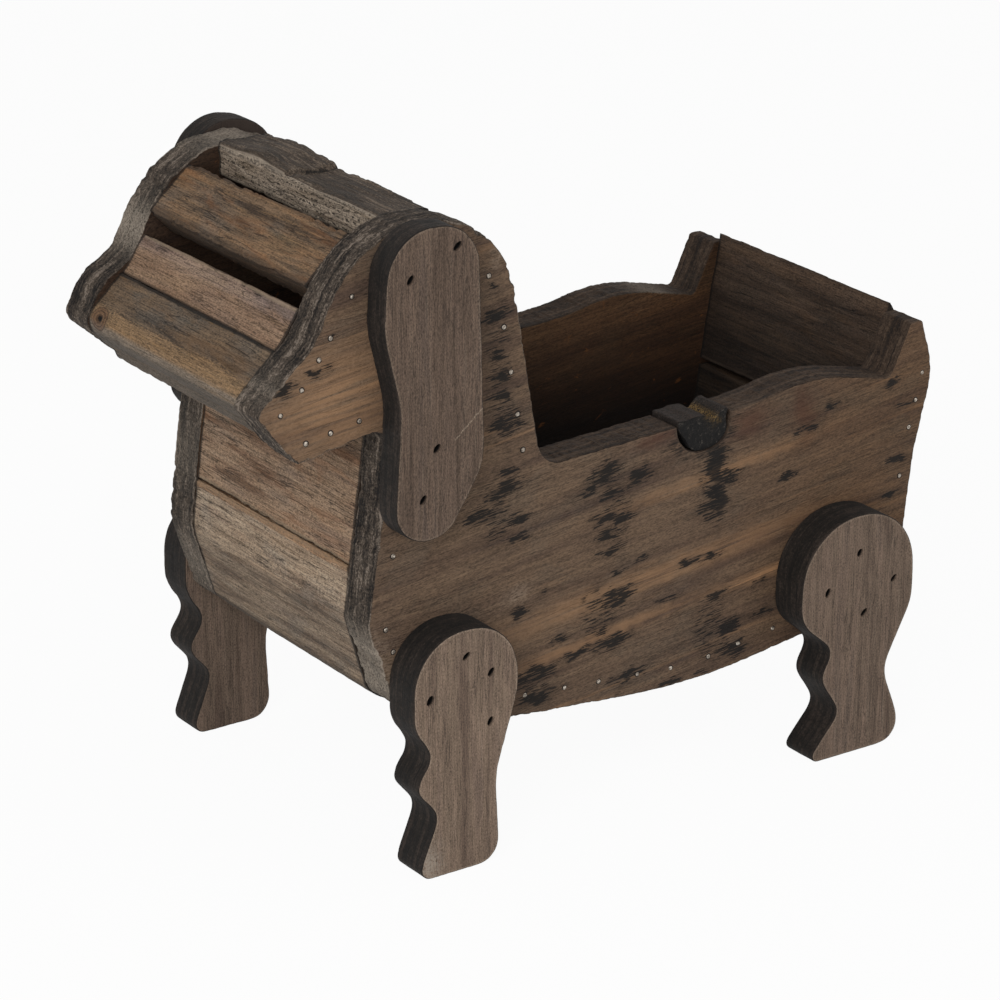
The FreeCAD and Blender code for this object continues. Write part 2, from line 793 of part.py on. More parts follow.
doc.recompute()
for item in doc.Objects:
    if "Invalid" in item.State or "Error" in item.State:
        raise RuntimeError(f"{item.Label} failed: {item.State}")
for node in nodes:
    if node.Shape.isNull() or not node.Shape.isValid():
        raise RuntimeError(f"{node.Label} has no valid shape")

os.makedirs("parts", exist_ok=True)
for node in nodes:
    node.Shape.exportStep(f"parts/{node.Label}.step")
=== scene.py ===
"""Look of the dog-shaped planter: weathered boards, sawn edges, a dead knot, nails and sunk brads."""
import math
from functools import partialmethod, reduce

import bpy
import numpy as np
from mathutils import Matrix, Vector
from mathutils.geometry import delaunay_2d_cdt


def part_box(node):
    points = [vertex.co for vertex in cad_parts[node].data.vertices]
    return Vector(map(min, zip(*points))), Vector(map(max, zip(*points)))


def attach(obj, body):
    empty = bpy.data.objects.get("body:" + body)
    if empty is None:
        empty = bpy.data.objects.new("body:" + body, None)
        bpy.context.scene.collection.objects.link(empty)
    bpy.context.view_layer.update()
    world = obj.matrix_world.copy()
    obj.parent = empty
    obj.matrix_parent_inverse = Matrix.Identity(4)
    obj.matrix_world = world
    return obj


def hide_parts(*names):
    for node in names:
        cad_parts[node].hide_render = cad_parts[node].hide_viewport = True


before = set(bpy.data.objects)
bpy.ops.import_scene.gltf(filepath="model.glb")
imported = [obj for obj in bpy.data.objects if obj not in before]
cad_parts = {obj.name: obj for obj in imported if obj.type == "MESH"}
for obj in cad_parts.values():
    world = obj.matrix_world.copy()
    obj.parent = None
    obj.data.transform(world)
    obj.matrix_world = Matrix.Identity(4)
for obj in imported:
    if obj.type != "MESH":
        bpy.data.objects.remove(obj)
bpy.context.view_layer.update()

MM = 0.001
# Faces of the boards, as distances in mm from the middle plane, and how deep the brads lie in theirs
SIDE_OUTER, SIDE_INNER = 85.0, 65.0
LEG_OUTER, EAR_OUTER = 105.0, 99.0
BRAD_SINK = 2.5
# Steps in mm along a board's outline, as it is and trimmed, and between the points of its back
OUTLINE_STEP, TRIMMED_STEP, BACK_SPACING = 1.2, 1.0, 4.5
# Rings in the rounding of a board's edge and between two roundings, points round a brad hole and a nail head
ARC_RINGS, SAWN_RINGS, SLOT_POINTS, HEAD_POINTS = 5, 11, 14, 16
# Edges are torn ahead of this x, and wholly so this much further on
TORN_UNTIL, TORN_FADE = -35, 25
# Bend of a slat's section, per mm, that counts as a full corner
FULL_BEND = 0.5
# Rounds of passing on the lowest number, more than the triangles from side to side of a pin's head
JOINING_PASSES = 80
# Radius and rise in mm of a nail head's profile and how much of it is steel, and the rises of its two ends
NAIL_PROFILE = np.array((
    (0.35, 0.34, 1), (0.72, 0.28, 1), (0.95, 0.12, 1), (1.02, -0.02, 0.6), (1.06, -0.08, 0), (1.4, -0.14, 0),
    (1.5, -0.8, 0),
))
NAIL_ENDS = (0.35, -0.8)
# Rise of the side boards' grain towards the rear
GRAIN_RISE = math.radians(7.0)
# x in metres over which a side board's edges turn brown and its faces warm, and z where the painted shade of
# its inner face begins
BROWN_EDGES, WARM_FACES, INNER_SHADE_FROM = (-0.06, -0.03), (0.03, 0.15), 0.12
# Distance in mm between rows of pits round a slat, and y in mm of the split along the crown
PIT_ROWS, CROWN_SPLIT = 2.3, 5.5
# Near black of painted shade, in the seams between slats and on the rear board's inner face
PAINTED_SHADE_BLACK = "#15100c"
# Middle and slope of the scratch on the left ear, and its sharpness across and along, per metre
SCRATCH, SCRATCH_RISE = (-0.0874, -0.099, 0.2081), math.radians(39.7)
SCRATCH_THIN, SCRATCH_SHORT = 1800, 90

# Dark stains on the side board: x, z, half-length along the grain, half-width, in mm
STAINS = (
    (-65, 248, 9, 3.4), (-64, 229, 6, 2.9), (-62, 221, 7, 2.4), (-59, 198, 9, 5.8), (-60, 211, 8, 2.9),
    (-67, 262, 2, 1.9), (-59, 167, 11, 4.9), (-72, 158, 9, 3.9), (-52, 151, 6, 2.9), (-52, 143, 6, 2.4),
    (-56, 175, 5, 2.4), (-4, 163, 9, 5.3), (14, 158, 8, 4.4), (-12, 157, 7, 3.4), (0, 152, 7, 2.9),
    (-5, 141, 7, 2.9), (6, 139, 7, 2.4), (-3, 133, 6, 2.4), (-1, 125, 8, 1.9), (5, 114, 5, 1.5),
    (3, 101, 11, 5.3), (0, 80, 12, 3.9), (-19, 79, 9, 2.4), (-43, 74, 12, 4.4), (-41, 63, 11, 3.9),
    (9, 61, 11, 2.9), (35, 52, 6, 1.9), (53, 52, 4, 1.5), (58, 159, 8, 4.9), (64, 147, 9, 3.9),
    (58, 142, 7, 4.4), (56, 134, 8, 3.4), (54, 129, 5, 2.4), (68, 72, 9, 3.9), (71, 60, 9, 3.9),
    (61, 89, 8, 2.4), (58, 109, 6, 1.9), (101, 140, 6, 1.9), (84, 90, 5, 1.5), (87, 74, 8, 1.5),
    (111, 161, 7, 2.4), (123, 170, 6, 1.9), (161, 173, 5, 1.9), (169, 161, 5, 1.5), (165, 134, 6, 2.4),
    (162, 117, 6, 2.4), (-50, 107, 6, 2.4), (-38, 114, 3, 1.5), (-172, 235, 5, 2.9), (-155, 240, 7, 1.5),
    (-149, 254, 2, 1.5), (-28, 88, 7, 1.5), (31, 94, 7, 1.5), (44, 110, 6, 1.5), (16, 117, 5, 1.5),
)
# Upright stretches where the stains run together: x, z, half-width, half-height
STAIN_COLUMNS = (
    (1, 144, 9, 26), (-7, 94, 10, 17), (56, 150, 8, 25), (-62, 218, 8, 36), (-64, 157, 11, 19),
    (57, 73, 12, 19), (-44, 72, 8, 10),
)
# Pale and faintly pale places of the left and the right side board, and reddish ones of the left
PALE_LEFT = ((-122, 88, 9, 13), (-127, 103, 8, 11), (-52, 115, 7, 4), (-64, 274, 3, 5))
FAINT_LEFT = ((-181, 238, 9, 7),)
PALE_RIGHT = ((-99, 299, 22, 6), (-150, 262, 10, 12))
FAINT_RIGHT = ((-122, 92, 9, 20), (-120, 138, 8, 24), (134, 181, 16, 5))
REDDISH = ((76, 171, 8, 6), (109, 170, 6, 13), (24, 174, 12, 3))
# Blackened wood round the rim's knot, and the knot's own ridge and yellow fibre
CHARRED = ((51, 172, 19, 11), (57, 152, 5, 16), (60, 138, 5, 14))
KNOT_RIDGE = ((50.6, 182.5, 40, 5),)
KNOT_FIBRE = ((55.4, 178, 3, 3),)
# Tan streaks of the left side board, and its tan muzzle
TAN = ((23, 107, 95, 6), (-10, 84, 60, 3), (100, 96, 50, 3), (60, 150, 50, 3), (-146, 225, 34, 24))
# Middle of the small knot at the far end of the nose slat
NOSE_KNOT = (-180.0, 56.5, 228.5)
# x and z of the corners where nose and bridge meet, and tail board and rear board
NOSE_SEAM, TAIL_SEAM = (-163.5, 244.75), (176.2, 138.1)
# Half the floor's side, and the place the lamps look at, in metres
FLOOR_REACH, LIT_MIDDLE = 9.0, (0, 0, 0.15)


def lattice(x, y, z, seed):
    """A fixed random number from 0 to 1 for each whole-number place: its coordinates, mixed and folded."""
    mixed = (x * 374761393 + y * 668265263 + z * 1103515245 + seed * 144269504) & 0xFFFFFFFF
    mixed = ((mixed ^ (mixed >> 13)) * 1274126177) & 0xFFFFFFFF
    return ((mixed ^ (mixed >> 16)) & 0xFFFF) / 65535.0


def smooth(t):
    """0 below 0, 1 above 1, and 3t2 - 2t3 between."""
    t = np.clip(t, 0, 1)
    return t * t * (3 - 2 * t)


def noise(x, y, z, seed):
    """Smooth noise from -1 to 1: the numbers of the eight whole-number places around, smoothly blended.

    Places in mm are given divided by the length of a wave, and a whole number stands for a layer.
    """
    places = np.broadcast_arrays(x, y, z)
    floors = [np.floor(p).astype(np.int64) for p in places]
    blends = [smooth(p - f) for p, f in zip(places, floors)]
    total = 0.0
    for corner in range(8):
        bits = [corner >> k & 1 for k in range(3)]
        weight = np.prod([t if bit else 1 - t for t, bit in zip(blends, bits)], axis=0)
        total = total + weight * lattice(*[f + bit for f, bit in zip(floors, bits)], seed)
    return total * 2 - 1


def solid_of(node):
    """A CAD node's points in mm with doubles merged, and its triangles."""
    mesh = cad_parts[node].data
    places = np.empty(len(mesh.vertices) * 3)
    mesh.vertices.foreach_get("co", places)
    mesh.calc_loop_triangles()
    corners = np.empty(len(mesh.loop_triangles) * 3, np.int32)
    mesh.loop_triangles.foreach_get("vertices", corners)
    rounded = np.round(places.reshape(-1, 3) / MM, 3)
    points, merged = np.unique(rounded, axis=0, return_inverse=True)
    return points, merged.reshape(-1)[corners].reshape(-1, 3)


def flat_face(node, y):
    """The triangles of a node that lie in the plane of the given y."""
    points, triangles = solid_of(node)
    return points, triangles[np.all(np.abs(points[triangles, 1] - y) < 0.01, axis=1)]


def outline(node, y):
    """A flat face's outline, anticlockwise in x and z: its unpaired edges, followed from the lowest x."""
    points, triangles = flat_face(node, y)
    count = len(points)
    edges = np.concatenate([triangles[:, [0, 1]], triangles[:, [1, 2]], triangles[:, [2, 0]]])
    lone = ~np.isin(edges[:, 0] * count + edges[:, 1], edges[:, 1] * count + edges[:, 0])
    edges = edges[lone]
    following = np.arange(count)
    following[edges[:, 0]] = edges[:, 1]
    order = edges[[np.argmin(points[edges[:, 0], 0])], 0]
    stride = following
    while len(order) < len(edges):
        order = np.concatenate([order, stride[order]])
        stride = stride[stride]
    again = np.flatnonzero(order[1:] == order[0])
    loop = points[order[:again[0] + 1 if len(again) else None]][:, [0, 2]]
    x, z = loop.T
    area = np.sum(x * np.roll(z, -1) - z * np.roll(x, -1))
    return loop if area > 0 else loop[::-1]


def even(loop, step):
    """Points at equal distances round a closed outline."""
    closed = np.vstack([loop, loop[:1]])
    along = np.concatenate([[0], np.cumsum(np.hypot(*np.diff(closed, axis=0).T))])
    places = np.linspace(0, along[-1], int(round(along[-1] / step)), endpoint=False)
    return np.column_stack([np.interp(places, along, closed[:, k]) for k in (0, 1)])


def softened(loop, times):
    """A closed outline with its corners rounded: each point becomes the mean of itself and its neighbours."""
    for _ in range(times):
        loop = (np.roll(loop, 1, 0) + loop * 2 + np.roll(loop, -1, 0)) / 4
    return loop


def outward(loop):
    """Directions out of an anticlockwise outline: the line between the neighbours, turned a quarter."""
    along = np.roll(loop, -2, 0) - np.roll(loop, 2, 0)
    along /= np.linalg.norm(along, axis=1)[:, None]
    return np.column_stack([along[:, 1], -along[:, 0]])


def within(places, loop):
    """For each place, whether the outline goes round it, and how far the outline's nearest point is."""
    inside, far = [], []
    x0, z0 = loop.T
    x1, z1 = np.roll(loop, -1, 0).T
    slope = (x1 - x0) / np.where(z1 == z0, 1e-9, z1 - z0)
    for some in np.array_split(places, max(1, len(places) // 1500)):
        x, z = some[:, :1], some[:, 1:]
        crossed = ((z0 > z) != (z1 > z)) & (x < x0 + (z - z0) * slope)
        inside.append(crossed.sum(axis=1) % 2 == 1)
        far.append(np.sqrt(((x - x0) ** 2 + (z - z0) ** 2).min(axis=1)))
    return np.concatenate(inside), np.concatenate(far)


def honeycomb(loop, spacing):
    """Places of a triangular lattice, shaken a little, inside an outline and a little away from it."""
    shaken, clear = 0.12 * spacing, 0.65 * spacing
    low, high = loop.min(axis=0), loop.max(axis=0)
    across = np.arange(low[0], high[0], spacing)
    rows = np.arange(low[1], high[1], spacing * math.sqrt(3) / 2)
    z, x = np.meshgrid(rows, across, indexing="ij")
    x = x + (np.arange(len(rows)) % 2)[:, None] * spacing / 2
    places = np.column_stack([x.ravel(), z.ravel()])
    x, z = places.T
    places = places + shaken * np.column_stack([noise(x * 3.1, z * 2.7, 0, 5), noise(x * 2.9, z * 3.3, 0, 6)])
    inside, far = within(places, loop)
    return places[inside & (far > clear)]


def filled(loop, spacing, extra):
    """Flat triangles that fill an outline: its own points, a honeycomb, and rings with a gap round them."""
    places, gap = honeycomb(loop, spacing), 0.6
    rings = [loop]
    for ring in extra:
        middle = ring.mean(axis=0)
        reach = np.linalg.norm(ring - middle, axis=1).max() + gap
        places = places[np.linalg.norm(places - middle, axis=1) > reach]
        rings.append(ring)
    edges, start = [], 0
    for ring in rings:
        at = np.arange(len(ring))
        edges.append(start + np.column_stack([at, np.roll(at, -1)]))
        start += len(ring)
    flat = np.vstack(rings + [places])
    result = delaunay_2d_cdt(flat.tolist(), np.concatenate(edges).tolist(), [], 1, 1e-7)
    triangles = np.array(result[2])
    if len(result[0]) != len(flat):
        raise RuntimeError("the outline crosses itself")
    return flat, triangles


def joined(near, far):
    """Triangles between rings of equally many points, given as the points' numbers, closed round a ring."""
    near_next, far_next = np.roll(near, -1, -1), np.roll(far, -1, -1)
    halves = (near, far, far_next), (near, far_next, near_next)
    return np.concatenate([np.stack(corners, -1).reshape(-1, 3) for corners in halves])


def capped(rings, count):
    """Triangles of a tube of rings, closed by the two tips whose numbers follow those of the rings."""
    ring = np.arange(rings * count).reshape(rings, count)
    caps = [np.column_stack([np.full(count, ring.size + tip), end, np.roll(end, -1)])
            for tip, end in enumerate((ring[0], ring[-1][::-1]))]
    return np.vstack([joined(ring[:-1], ring[1:]), *caps])


def placed(name, data):
    """A new object at the origin of the scene."""
    thing = bpy.data.objects.new(name, data)
    bpy.context.scene.collection.objects.link(thing)
    return thing


def piece(name, points, triangles, finish, slot, nodes, **marks):
    """A mesh object at the origin from points in mm and triangles, with marks kept as point attributes."""
    mesh = bpy.data.meshes.new(name)
    mesh.from_pydata(points * MM, [], triangles)
    for mark, values in marks.items():
        layer = mesh.attributes.new(mark, "FLOAT", "POINT")
        layer.data.foreach_set("value", np.ascontiguousarray(values, np.float32))
    mesh.materials.append(finish)
    mesh.update()
    thing = placed(name, mesh)
    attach(thing, "root")
    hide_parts(*nodes)


def slot_ring(middle, half_length, half_width, lean):
    """A ring like a stretched circle round a brad hole, its long axis leaning."""
    turn = np.linspace(0, 2 * math.pi, SLOT_POINTS, endpoint=False)
    u, v = half_length * np.cos(turn), half_width * np.sin(turn)
    cos, sin = math.cos(lean), math.sin(lean)
    return middle + np.column_stack([u * cos - v * sin, u * sin + v * cos])


def brad_slots(holes):
    """Two rings for each brad hole, its mouth and its foot, with size and lean varied by noise."""
    rings = []
    for middle in holes:
        big, slim, leant = (noise(*middle, layer, 40) for layer in (1.5, 2.5, 3.5))
        long, wide, lean = 2.4 + 0.5 * big, 1.55 + 0.35 * slim, 0.95 + 0.5 * leant
        rings += [slot_ring(middle, long - inset, wide - inset, lean) for inset in (0.0, 0.25)]
    return rings


def edge_rings(base, outer, depth, jag, edge_r, seed):
    """Rings of a sawn edge from the face to the back, and how deep their points lie.

    Each ring is the outline moved along its own normal: inwards by r(1 - sin t) in the rounding, where the
    depth is r(1 - cos t), and by saw-tooth noise between. Bites and chips are strongest towards the head.
    """
    across = outward(softened(base, 4))
    x, z = base.T
    headward = smooth((TORN_UNTIL - x) / TORN_FADE)
    bites = smooth((noise(x / 3.2, z / 3.2, 0, seed) - 0.1) / 0.4)
    bites = bites * smooth(noise(x / 17, z / 17, 5, seed + 8) + 0.7) * (0.15 + 0.85 * headward)
    fine, slow = noise(x / 1.6, z / 1.6, 0, seed + 9), noise(x / 13, z / 13, 0, seed + 1)
    ragged = jag * (0.35 * fine + 0.15 * slow - bites - 0.2)
    torn = min(1, jag * 1.5) * (0.2 + 0.8 * headward)
    chips = smooth(noise(x / 6, z / 6, 3, seed + 2) * 2.2 - 0.5) * torn
    round_r = edge_r * (0.75 + 0.35 * noise(x / 5, z / 5, 9, seed + 3) * torn + 1.3 * chips)
    turn = np.linspace(0, math.pi / 2, ARC_RINGS)[:, None]
    arc_off, arc_down = -round_r * (1 - np.sin(turn)), round_r * (1 - np.cos(turn))
    share = np.linspace(0, 1, SAWN_RINGS + 2)[1:-1, None]
    sawn_down = round_r + (depth - 2 * round_r) * share
    teeth = 0.5 * noise(x / 1.7, sawn_down / 3.4, z / 1.7, seed + 4)
    teeth = teeth + 0.35 * noise(x / 5, sawn_down / 6, z / 5, seed + 5)
    sawn_off = jag * teeth * np.minimum(1, 5 * share * (1 - share))
    offsets = np.vstack([arc_off, sawn_off, arc_off[::-1]]) + ragged
    downs = np.vstack([arc_down, sawn_down, depth - arc_down[::-1]])
    y = math.copysign(1, outer) * (abs(outer) - downs)
    return np.stack([x + across[:, 0] * offsets, y, z + across[:, 1] * offsets], axis=-1), downs


def stitched(face, back, count, levels, start):
    """Triangles of a board: its face, the rings of its edge, the seams beside them, and its back."""
    place = np.arange(count)
    ring = start + np.arange(levels * count).reshape(levels, count)
    back_start = start + ring.size
    return np.vstack([face, joined(ring[:-1], ring[1:]), joined(place, ring[0]),
                      joined(ring[-1], back_start + place), back_start + back[:, ::-1]])


def sawn_board(name, node, outer, inner, finish, slot, jag, edge_r, spacing, holes=(), spots=None, seed=0,
               wave=0.25, trim=None):
    """A sawn board: the CAD outline, made ragged, carried through the thickness between two filled faces.

    The outer face sinks by slow and quick noise, and in the brad holes; the edge rings next to it follow.
    """
    side = math.copysign(1, outer)
    base = even(outline(node, outer), OUTLINE_STEP)
    if trim:
        base = even(softened(trim(*base.T), 1), TRIMMED_STEP)
    base = np.roll(base, -np.argmin(base[:, 1]), 0)
    rings, downs = edge_rings(base, outer, abs(outer) - abs(inner), jag, edge_r, seed)
    count, levels = len(base), len(rings) - 2

    slots = brad_slots(holes)
    flat, face = filled(rings[0][:, [0, 2]], spacing, slots)
    back_flat, back = filled(rings[-1][:, [0, 2]], BACK_SPACING, ())
    sunk = np.zeros(len(flat))
    mouth_or_foot = np.repeat(np.arange(len(slots)) % 2, SLOT_POINTS)
    sunk[count:count + len(mouth_or_foot)] = mouth_or_foot
    fx, fz = flat.T
    slow, quick = noise(fx / 26, fz / 16, 1, seed + 6), noise(fx / 6, fz / 4, 2, seed + 7)
    dip = wave * (1 + slow) * 0.5 + 0.1 * (1 + quick) * 0.5
    dip = dip + sunk * (BRAD_SINK + 0.1)
    top = np.column_stack([fx, side * (abs(outer) - dip), fz])
    rings[0] = top[:count]
    rings[1:4, :, 1] -= side * dip[:count] * np.array((0.7, 0.4, 0.15))[:, None]
    band = rings[1:-1].reshape(-1, 3)
    bottom = np.column_stack([back_flat[:, 0], np.full(len(back_flat), inner), back_flat[:, 1]])
    points = np.vstack([top, band, bottom])
    triangles = stitched(face, back, count, levels, len(top))
    if side > 0:
        triangles = triangles[:, ::-1]

    def marked(*values):
        """A mark of every point, from the values on the face, the edge and the back."""
        lengths = (len(top), len(band), len(bottom))
        return np.concatenate([np.broadcast_to(v, n) for v, n in zip(values, lengths)])

    sawn = np.ones((levels, count))
    sawn[[0, -1]] = 0.35
    back_ring = np.repeat(np.arange(levels) == levels - 1, count)
    marks = {mark: bells(points[:, [0, 2]], *tables) for mark, tables in (spots or {}).items()}
    piece(name, points, triangles, finish, slot, [node], edge=marked(0, sawn.ravel(), 0),
          rim=marked(np.exp(-within(flat, base)[1] / 2.2), 1, 0), pit=marked(sunk, 0, 0),
          inside=marked(0, back_ring, 1), run=marked(0, np.tile(np.arange(count) * OUTLINE_STEP, levels), 0),
          deep=marked(0, downs[1:-1].ravel(), 0), **marks)


def bells(places, spots, weaker=None):
    """The strongest of bell curves along the grain, at places led astray by noise; the weaker count half."""
    cos, sin = math.cos(GRAIN_RISE), math.sin(GRAIN_RISE)
    turn = np.array([[cos, sin], [-sin, cos]])
    spots, height = np.array(spots, float), []
    x, z = places.T
    strayed = places + np.column_stack([2.5 * noise(x / 5, z / 2.5, 0, 81), 1.6 * noise(x / 4, z / 2, 3, 82)])
    for some in np.array_split(strayed, 16):
        u, v = np.moveaxis((some[:, None, :] - spots[:, :2]) @ turn.T, -1, 0)
        height.append(np.exp(-(u / spots[:, 2]) ** 2 - (v / spots[:, 3]) ** 2).max(axis=1))
    height = np.concatenate(height)
    return height if weaker is None else np.maximum(height, 0.5 * bells(places, weaker))


def slat(name, node, finish, slot, rough=1.0, softness=5, step=1.0, rows=110, seed=0, swell=None, chipped=1.0,
         lip=0.0, eye=(0, 0, 0), meets=None):
    """A slat: its CAD section, with softened corners, carried across the dog; wavy and grained on the way.

    Each section point moves along the section's normal by slow noise, by ridges that run along y, by fine
    noise, back by chips at the corners and a bell-shaped pit at the knot's eye, and out by a bell-shaped lip
    under the top and a bell round the corner that meets its neighbour; the two ends close in to the middle of
    the section.
    """
    low, high = (np.array(corner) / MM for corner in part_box(node))
    loop = softened(even(outline(node, low[1]), step), softness)
    across = outward(loop)
    bend = np.cross(np.roll(across, 1, 0), np.roll(across, -1, 0)) / step
    corner = np.clip(bend / FULL_BEND, 0, 1)
    y = np.linspace(low[1], high[1], rows)[:, None]
    x, z = loop.T
    off = rough * (0.4 * noise(x / 9, y / 45, z / 9, seed) + 0.22 * noise(x / 2.2, y / 26, z / 2.2, seed + 1)
                   + 0.1 * noise(x / 1.1, y / 5, z / 1.1, seed + 2)) - 0.25 * rough
    chips = smooth(noise(x / 12, y / 4.2, z / 12, seed + 3) * 1.8 - 0.1)
    chips = chips + 0.4 * smooth(noise(x / 5, y / 1.7, z / 5, seed + 4))
    off = off - chipped * corner * chips + lip * np.exp(-((z - z.max()) / 3) ** 2) * smooth(-across[:, 0] * 2)
    off = off - 1.6 * np.exp(-((x - eye[0]) ** 2 + (y - eye[1]) ** 2 + (z - eye[2]) ** 2) / 2.4)
    seam = np.exp(-((x - meets[0]) ** 2 + (z - meets[1]) ** 2) / 5) if meets else np.zeros(len(x))
    off = off + 0.9 * seam
    px, pz = x + across[:, 0] * off, z + across[:, 1] * off
    if swell:
        pz = pz + swell(px, y) * smooth(across[:, 1] * 2 - 0.4)
    grid = np.stack([px, np.broadcast_to(y, px.shape), pz], axis=-1)

    count = len(loop)
    middle = loop.mean(axis=0)
    ends = grid[[0, -1]]
    ends[..., [0, 2]] = middle + (ends[..., [0, 2]] - middle) * 0.5
    rings = np.concatenate([ends[:1], grid, ends[1:]])
    tips = np.array([(middle[0], end[1], middle[1]) for end in (low, high)])
    points = np.vstack([rings.reshape(-1, 3), tips])

    facing, up = smooth(-across[:, 0] * 2 - 0.2), (z - z.min()) / np.ptp(z)
    sides = {"corner": corner * (1 - seam), "seam": seam, "facing": facing, "high": up,
             "shaded": facing * (1 - up), "fore": 1 - (x - x.min()) / np.ptp(x),
             "upward": smooth(across[:, 1] * 2.2 - 0.7), "under": smooth(-across[:, 1] * 2 - 0.1),
             "girth": np.arange(count) * step}
    marks = {mark: np.append(np.tile(values, len(rings)), (0, 0)) for mark, values in sides.items()}
    reach = high[1] - np.abs(points[:, 1])
    knot = np.exp(-np.linalg.norm((points - eye) / (5, 6, 5), axis=1) ** 2)
    piece(name, points, capped(len(rings), count), finish, slot, [node], tip=np.exp(-reach / 1.5), eye=knot,
          **marks)


def head_middles(node, y):
    """Middles of the round faces of a node in the plane of y: joined triangles share their lowest number."""
    points, triangles = flat_face(node, y)
    label = np.arange(len(points))
    for _ in range(JOINING_PASSES):
        lowest = label[triangles].min(axis=1)
        np.minimum.at(label, triangles.ravel(), np.repeat(lowest, 3))
    used = np.unique(triangles)
    groups, which = np.unique(label[used], return_inverse=True)
    flat = points[used][:, [0, 2]]
    low, high = np.full((len(groups), 2), np.inf), np.full((len(groups), 2), -np.inf)
    np.minimum.at(low, which, flat)
    np.maximum.at(high, which, flat)
    return (low + high) / 2


def nail_heads(name, node, side, finish, slot):
    """Nail heads: one domed profile turned round each nail, with a dark ring of stained wood at its foot."""
    middles = head_middles(node, side * SIDE_OUTER)
    x, z = middles.T[:, :, None, None]
    radius, rise, steel = NAIL_PROFILE.T
    nails = len(middles)
    turn = np.linspace(0, 2 * math.pi, HEAD_POINTS, endpoint=False)
    size = 1 + 0.1 * noise(x, z, 0, 31)
    tilt_x, tilt_z = (0.12 * noise(x, z, layer, 32) for layer in (1, 2))
    r = radius[:, None] * size
    dx, dz = r * np.cos(turn), r * np.sin(turn)
    out = SIDE_OUTER + (rise[:, None] + tilt_x * dx + tilt_z * dz)
    rings = np.stack([x + dx, side * out, z + dz], -1).reshape(nails, -1, 3)
    ends = np.stack([np.insert(middles, 1, side * (SIDE_OUTER + end), axis=1) for end in NAIL_ENDS], axis=1)
    points = np.concatenate([rings, ends], axis=1)
    starts = np.arange(nails)[:, None, None] * points.shape[1]
    triangles = (starts + capped(len(radius), HEAD_POINTS)).reshape(-1, 3)
    if side > 0:
        triangles = triangles[:, ::-1]
    bright = np.tile(np.append(np.repeat(steel, HEAD_POINTS), (1, 0)), nails)
    piece(name, points.reshape(-1, 3), triangles, finish, slot, [node], steel=bright)


def linear(colour):
    """A hex colour as linear red, green, blue, by the sRGB curve."""
    parts = np.array([int(colour[k:k + 2], 16) for k in (1, 3, 5)]) / 255
    parts = np.where(parts <= 0.04045, parts / 12.92, ((parts + 0.055) / 1.055) ** 2.4)
    return (*parts.tolist(), 1.0)


class Value:
    """A shader socket; arithmetic on it adds Math nodes."""

    def __init__(self, sheet, socket):
        self.sheet, self.socket = sheet, socket

    def math(self, operation, other):
        return self.sheet.add("Math", {0: self, 1: other}, operation=operation)

    __add__ = __radd__ = partialmethod(math, "ADD")
    __sub__ = partialmethod(math, "SUBTRACT")
    __mul__ = partialmethod(math, "MULTIPLY")
    most = partialmethod(math, "MAXIMUM")
    sine = partialmethod(math, "SINE", 0.0)

    def __rsub__(self, other):
        return self.sheet.add("Math", {0: other, 1: self}, operation="SUBTRACT")

    def ease(self, low, high):
        """0 at low, 1 at high, smooth between."""
        return self.sheet.add("MapRange", {"Value": self, "From Min": low, "From Max": high},
                              interpolation_type="SMOOTHSTEP")

    def about(self, width):
        """Noise from 0 to 1 as a swing about 0, of the given width."""
        return (self - 0.5) * width

    def peak(self, sharp):
        """1 where the value is 0, falling evenly to 0 at 1/sharp on either side."""
        return 1 - self.most(self * -1) * sharp


